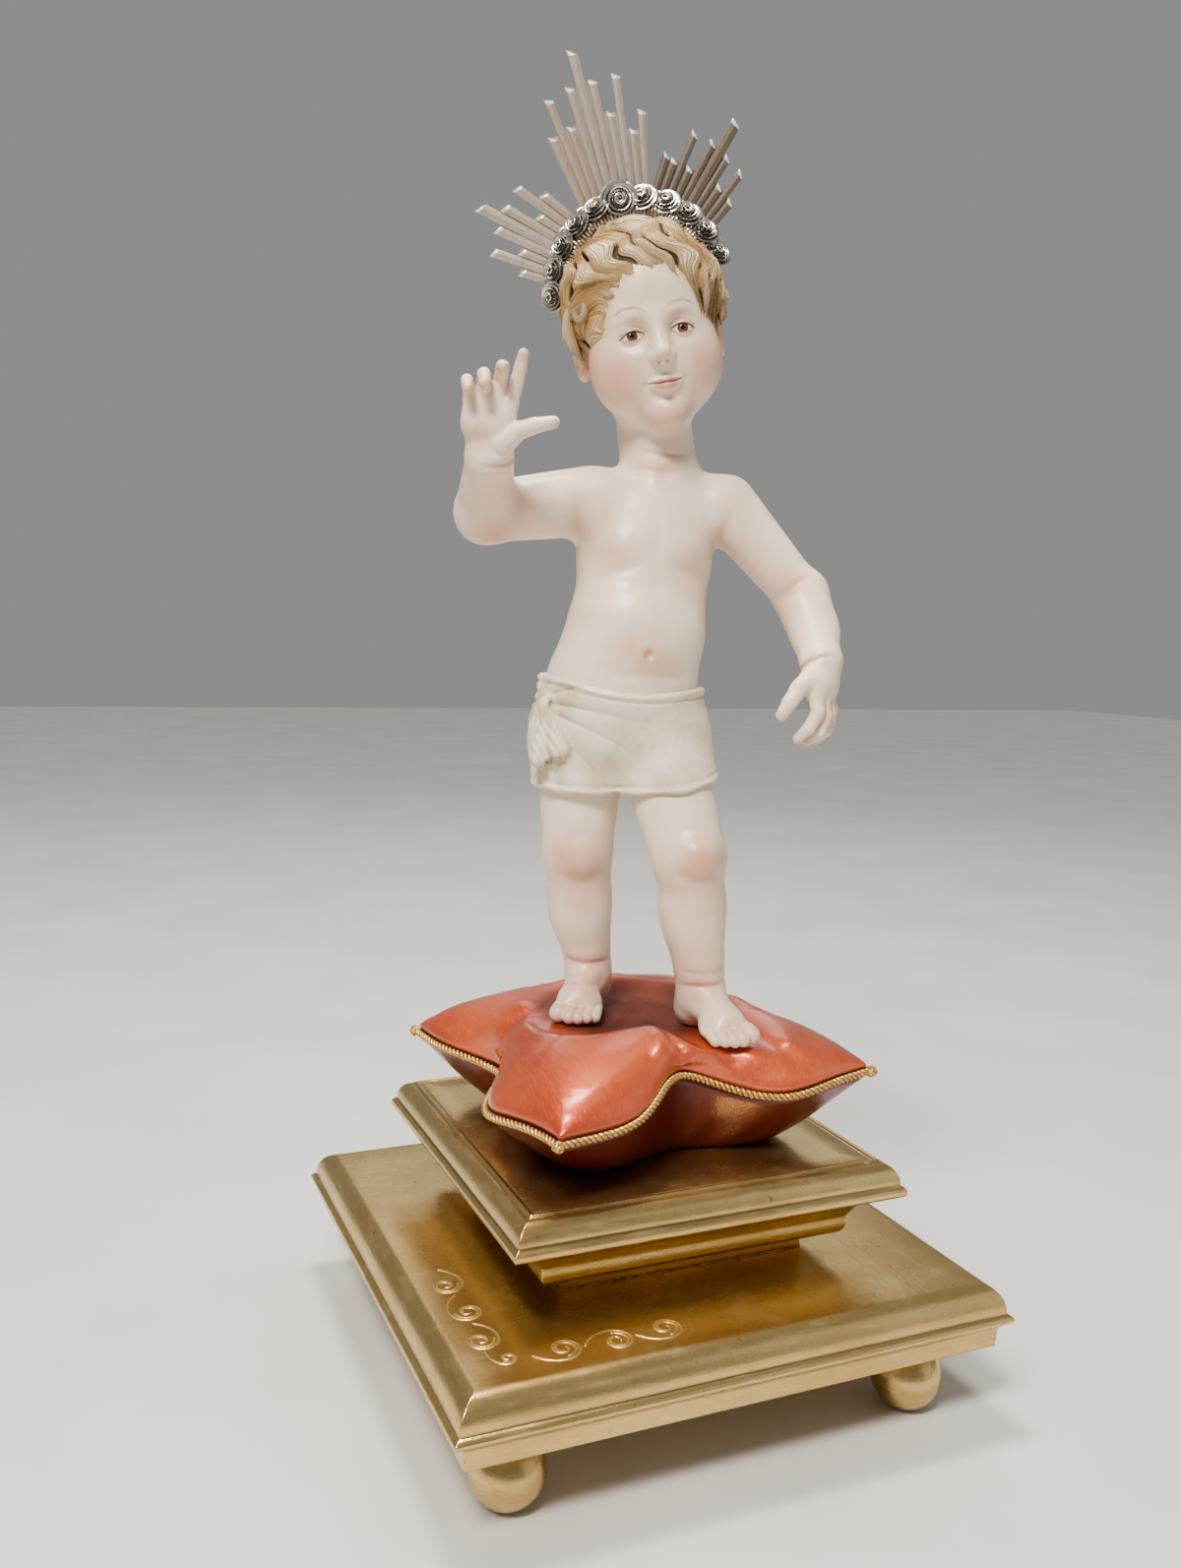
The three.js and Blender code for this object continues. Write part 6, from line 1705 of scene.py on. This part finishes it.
M = EYES
ex_, ey_, ez_ = M.xyz(M.attr("eyeco").outputs["Vector"])
gx = M.m("SUBTRACT", ex_, 0.0)
gz = M.m("SUBTRACT", ez_, 0.35)
d_ = M.m("SQRT", M.m("ADD", M.mul(gx, gx), M.mul(gz, gz)))
angle = M.m("ARCTAN2", gz, gx)
fibre = M.noise(1.0, 3, 0.6, vec=M.node("ShaderNodeCombineXYZ", {0: M.mul(angle, 6.0), 1: M.mul(d_, 0.7), 2: 0.0}).outputs[0])
iris = M.mix(M.step(fibre, 0.3, 0.7), lin(70, 40, 22), lin(136, 86, 46))
iris = M.mix(M.step(d_, 1.9, 2.7), iris, lin(44, 24, 16))
c = M.mix(M.step(d_, 2.85, 2.65), M.mix(M.step(M.noise(300, 3), 0.4, 0.7), lin(232, 224, 212), lin(214, 196, 182)), iris)
c = M.mix(M.step(d_, 1.25, 1.1), c, lin(12, 8, 6))
# a painted highlight: a near-white spot on each eye
eye_painted_highlight = blob(M, ((gx, -0.9, 0.42), (gz, 1.1, 0.42)))
c = M.mix(M.step(eye_painted_highlight, 0.4, 0.75), c, lin(240, 238, 230))
M.set(color=c, rough=0.12, spec=0.6, coat=0.8, coat_rough=0.04)

M = CLOTH
weave = M.noise(260, 4, 0.6)
c = M.mix(M.step(M.noise(40, 4), 0.35, 0.7), lin(232, 222, 204), lin(206, 190, 164))
c = M.mix(M.mul(M.step(weave, 0.5, 0.75), 0.35), c, lin(184, 166, 138))
# painted shade: darker in the hollows of the folds
c = M.mix(M.step(M.node("ShaderNodeNewGeometry").outputs["Pointiness"], 0.49, 0.44, 0.0, 0.55), c, lin(150, 126, 98))
M.set(color=c, rough=M.step(weave, 0.2, 0.8, 0.45, 0.62), spec=0.4,
      normal=M.bump(M.add(M.mul(weave, 0.6), M.noise(90, 3)), 0.0003, 0.5), coat=0.06, coat_rough=0.3)

M = HAIR
groove, strand, edge_a, proud_painted_highlight = (M.attr(k).outputs["Fac"] for k in ("groove", "strand", "edge", "proud"))
fine_s = M.m("SINE", M.add(M.mul(strand, 2 * math.pi * STRANDS), M.mul(M.noise(110, 2), 3.0)))
hairs = M.m("SINE", M.add(M.mul(strand, 2 * math.pi * STRANDS * 2.4), M.mul(M.noise(160, 2), 5.0)))
c = M.mix(M.step(M.noise(60, 4, 0.6), 0.3, 0.72), lin(208, 174, 124), lin(182, 144, 94))
# painted highlight: cream on the crowns of the locks and the tops of the curls
c = M.mix(M.mul(M.step(proud_painted_highlight, 0.30, 0.92), M.step(M.noise(120, 3), 0.3, 0.7, 0.5, 0.92)), c, lin(240, 222, 188))
# dark combed lines: painted strand lines, and painted shade in the hollows between strands
c = M.mix(M.mul(M.step(fine_s, 0.25, 1.0), M.step(M.noise(90, 3), 0.3, 0.65, 0.25, 0.75)), c, lin(136, 100, 60))
c = M.mix(M.step(hairs, 0.2, 0.95, 0.0, 0.32), c, lin(120, 88, 52))
# painted shade: dark brown in the cuts, between the locks and under the curls
c = M.mix(M.step(groove, 0.24, 0.66, 0.0, 0.96), c, lin(66, 45, 26))
c = M.mix(M.step(edge_a, 3.0, 0.0, 0.0, 0.55), c, lin(212, 180, 138))
M.set(color=c, rough=M.step(groove, 0, 1, 0.40, 0.65), spec=0.42, coat=0.10, coat_rough=0.25,
      normal=M.bump(M.add(M.mul(fine_s, -0.6), M.mul(hairs, -0.30), M.mul(M.noise(500, 3), 0.2)), 0.0006, 0.9))

# lacquer over metal leaf: brushed, deep, with a clear coat
M = LACQUER
under, hollow_shadow_mask = M.attr("under").outputs["Fac"], M.attr("hollow").outputs["Fac"]
brushed = M.noise(1.0, 4, 0.6, vec=M.stretch((1100, 70, 400), (0, 0, 0.6)))
cloud = M.noise(22, 4, 0.55)
c = M.mix(M.step(cloud, 0.3, 0.72), lin(206, 102, 66), lin(184, 76, 46))
c = M.mix(M.step(brushed, 0.45, 0.8, 0.0, 0.45), c, lin(222, 128, 88))
# the hollow round the feet dark brown: painted shadow, partly its own darker brown
c = M.mix(M.mul(hollow_shadow_mask, M.step(M.noise(34, 4), 0.25, 0.75, 0.78, 0.98)), c, lin(74, 28, 19))
# underside deep crimson: partly its own darker glaze, partly painted shade under the cushion
c = M.mix(M.mul(under, M.step(cloud, 0.2, 0.8, 0.88, 1.0)), c, lin(88, 12, 14))
worn_ = M.mul(M.step(M.noise(55, 5, 0.65), 0.66, 0.74), M.step(M.noise(16, 2), 0.52, 0.6))
c = M.mix(M.mul(worn_, 0.5), c, lin(120, 52, 26))
M.set(color=c, rough=M.add(M.step(brushed, 0.2, 0.85, 0.30, 0.46), M.mul(hollow_shadow_mask, 0.30)), metal=M.m("SUBTRACT", M.m("SUBTRACT", 0.38, M.mul(under, 0.30)), M.mul(hollow_shadow_mask, 0.2)),
      coat=M.m("SUBTRACT", M.m("SUBTRACT", 1.0, M.mul(hollow_shadow_mask, 0.92)), M.mul(under, 0.45)), coat_rough=0.085, spec=0.5,
      normal=M.bump(M.add(M.mul(brushed, 0.6), M.mul(M.noise(300, 3), 0.4)), 0.00025, 0.6),
      coat_normal=M.bump(M.add(M.noise(30, 3), M.mul(M.noise(110, 3), 0.3), M.mul(brushed, 0.25)), 0.0014, 0.55))

M = CORD
tw = M.noise(900, 3, 0.6)
c = M.mix(M.step(tw, 0.3, 0.7), lin(222, 190, 130), lin(176, 134, 76))
# painted shade: dark brown between the twisted strands and in the knots
c = M.mix(M.mul(M.attr("deep").outputs["Fac"], 0.9), c, lin(74, 46, 22))
M.set(color=c, rough=M.step(tw, 0.2, 0.8, 0.3, 0.5), metal=0.72, spec=0.5, normal=M.bump(tw, 0.0003, 0.7))


def gilding(M, reflected_orange=0.0, pale=0.0):
    geo = M.node("ShaderNodeNewGeometry")
    point = geo.outputs["Pointiness"]
    cloud_ = M.noise(14, 5, 0.6)
    rub = M.noise(1.0, 5, 0.62, vec=M.stretch((40, 40, 260), (0.5, 0.35, 0.0)))
    along_ = M.noise(1.0, 4, 0.6, vec=M.stretch((420, 36, 420), (0, 0, 0)))
    along2 = M.noise(1.0, 4, 0.6, vec=M.stretch((36, 420, 420), (0, 0, 0)))
    c_ = M.mix(M.step(cloud_, 0.25, 0.78), lin(214, 188, 134), lin(196, 166, 112))
    c_ = M.mix(M.step(rub, 0.52, 0.74, 0.0, 0.5), c_, lin(232, 210, 160))
    c_ = M.mix(M.mul(M.step(M.m("MAXIMUM", along_, along2), 0.60, 0.74), 0.30), c_, lin(150, 116, 70))
    # painted reflection: a warm orange cast on the gilding
    if reflected_orange:
        c_ = M.mix(reflected_orange, c_, lin(200, 126, 44))
    # rubbed through to the dark red ground on a few edges, painted shade in the hollows, and a few dark spots
    edge_ = M.mul(M.step(point, 0.505, 0.545), M.step(M.noise(160, 4, 0.65), 0.56, 0.64))
    c_ = M.mix(M.mul(edge_, 0.55), c_, lin(116, 54, 30))
    # painted shade: darker in the hollows
    c_ = M.mix(M.step(point, 0.495, 0.455, 0.0, 0.75), c_, lin(84, 60, 30))
    spots = M.mul(M.step(M.noise(240, 3, 0.5), 0.70, 0.74), M.step(M.noise(30, 2), 0.5, 0.6))
    c_ = M.mix(M.mul(spots, 0.6), c_, lin(92, 64, 34))
    h_ = M.add(M.mul(rub, 0.5), M.mul(M.noise(420, 4, 0.6), 0.3), M.mul(cloud_, 0.4), M.mul(M.m("MAXIMUM", along_, along2), 0.6))
    r_ = M.add(M.step(cloud_, 0.25, 0.8, 0.22, 0.31), M.mul(M.step(rub, 0.4, 0.8), 0.09))
    return M.set(color=c_, rough=r_, metal=M.m("SUBTRACT", 0.95, M.mul(edge_, 0.7)), spec=0.5, normal=M.bump(h_, 0.0004, 0.5))


gilding(GOLD)
gilding(GOLD_NECK_REFLECTION, reflected_orange=0.45)

M = SCROLL
ridge = M.attr("ridge").outputs["Fac"]
# lighter along the crest of each raised line
c = M.mix(M.step(ridge, 0.1, 0.7), lin(190, 156, 98), lin(224, 194, 138))
M.set(color=M.mix(M.step(M.noise(300, 3), 0.5, 0.75, 0, 0.4), c, lin(156, 112, 64)), rough=0.36, metal=0.85, normal=M.bump(M.noise(500, 3), 0.0003, 0.5))

M = GLUE
nz = M.noise(260, 4, 0.6)
c = M.mix(M.step(nz, 0.46, 0.66), lin(214, 178, 120), lin(138, 98, 54))
M.set(color=c, rough=0.6, metal=0.35, normal=M.bump(nz, 0.0005, 0.8))


def silver(M, grime, light_, mid, groups):
    point = M.node("ShaderNodeNewGeometry").outputs["Pointiness"]
    tint_, patina_shade_highlight_ = M.attr("tint").outputs["Fac"], M.attr("dark").outputs["Fac"]
    cloud_ = M.noise(90, 4, 0.6)
    c_ = M.mix(M.step(cloud_, 0.3, 0.72), light_, mid)
    if groups:
        c_ = M.mix(M.step(M.m("SINE", M.mul(tint_, 140.0)), -1.0, 1.0, 0.0, 0.55), c_, lin(196, 172, 152))
        # painted shade: the right-hand group of rays darker
        c_ = M.mix(M.step(tint_, 0.33, 0.42, 0.0, 0.8), c_, lin(108, 98, 86))
    else:
        c_ = M.mix(M.mul(M.step(tint_, 0.45, 1.2), 0.62), c_, lin(182, 142, 92))
    # dark patina in the rose hollows, and painted shade in the gaps between rays
    c_ = M.mix(M.step(patina_shade_highlight_, 0.25, 1.0, 0.0, 0.92), c_, lin(44, 37, 30))
    c_ = M.mix(M.step(point, 0.47, 0.36, 0.0, 0.6), c_, lin(46, 38, 30))
    streak = M.noise(1.0, 3, 0.6, vec=M.stretch((700, 700, 90)))
    c_ = M.mix(M.step(streak, 0.52, 0.8, 0.0, grime), c_, lin(104, 90, 74))
    # painted highlight: the cut ends of the rays near white
    c_ = M.mix(M.step(patina_shade_highlight_, -0.1, -0.6, 0.0, 1.0), c_, lin(246, 243, 238))
    return M.set(color=c_, rough=M.step(cloud_, 0.2, 0.8, *((0.34, 0.46) if groups else (0.20, 0.32))),
                 metal=M.step(patina_shade_highlight_, 0.3, 1.0, 0.72 if groups else 1.0, 0.5), spec=0.5,
                 normal=M.bump(M.add(M.mul(streak, 0.5), M.noise(260, 3)), 0.0002, 0.4))


silver(SILVER, 0.25, lin(238, 236, 230), lin(218, 212, 202), False)
silver(SILVER_RAYS, 0.35, lin(204, 193, 182), lin(184, 171, 158), True)

# ------------------------------------------------------------------ floor, places, end
FLOOR = Mat("pale_floor")
fl = FLOOR.noise(6, 3)
FLOOR.set(color=FLOOR.mix(FLOOR.step(fl, 0.3, 0.7), lin(216, 214, 210), lin(208, 206, 202)), rough=0.65,
          normal=FLOOR.bump(FLOOR.noise(300, 2), 0.0002, 0.2))
me = bpy.data.meshes.new("floor")
k = 6.0
me.from_pydata([(-k, -k, 0), (k, -k, 0), (k, k, 0), (-k, k, 0)], [], [(0, 1, 2, 3)])
me.materials.append(FLOOR.mat)
floor = bpy.data.objects.new("floor", me)
bpy.context.scene.collection.objects.link(floor)

for ob, slot, node, tris in PIECES:
    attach(ob, "root")
    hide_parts(node)
print("TRIANGLES", sum(t for *_x, t in PIECES), "most", max(t for *_x, t in PIECES))

view = bpy.context.scene.view_settings
view.view_transform = "AgX"
view.look = "AgX - Medium High Contrast"
view.exposure = 0.0
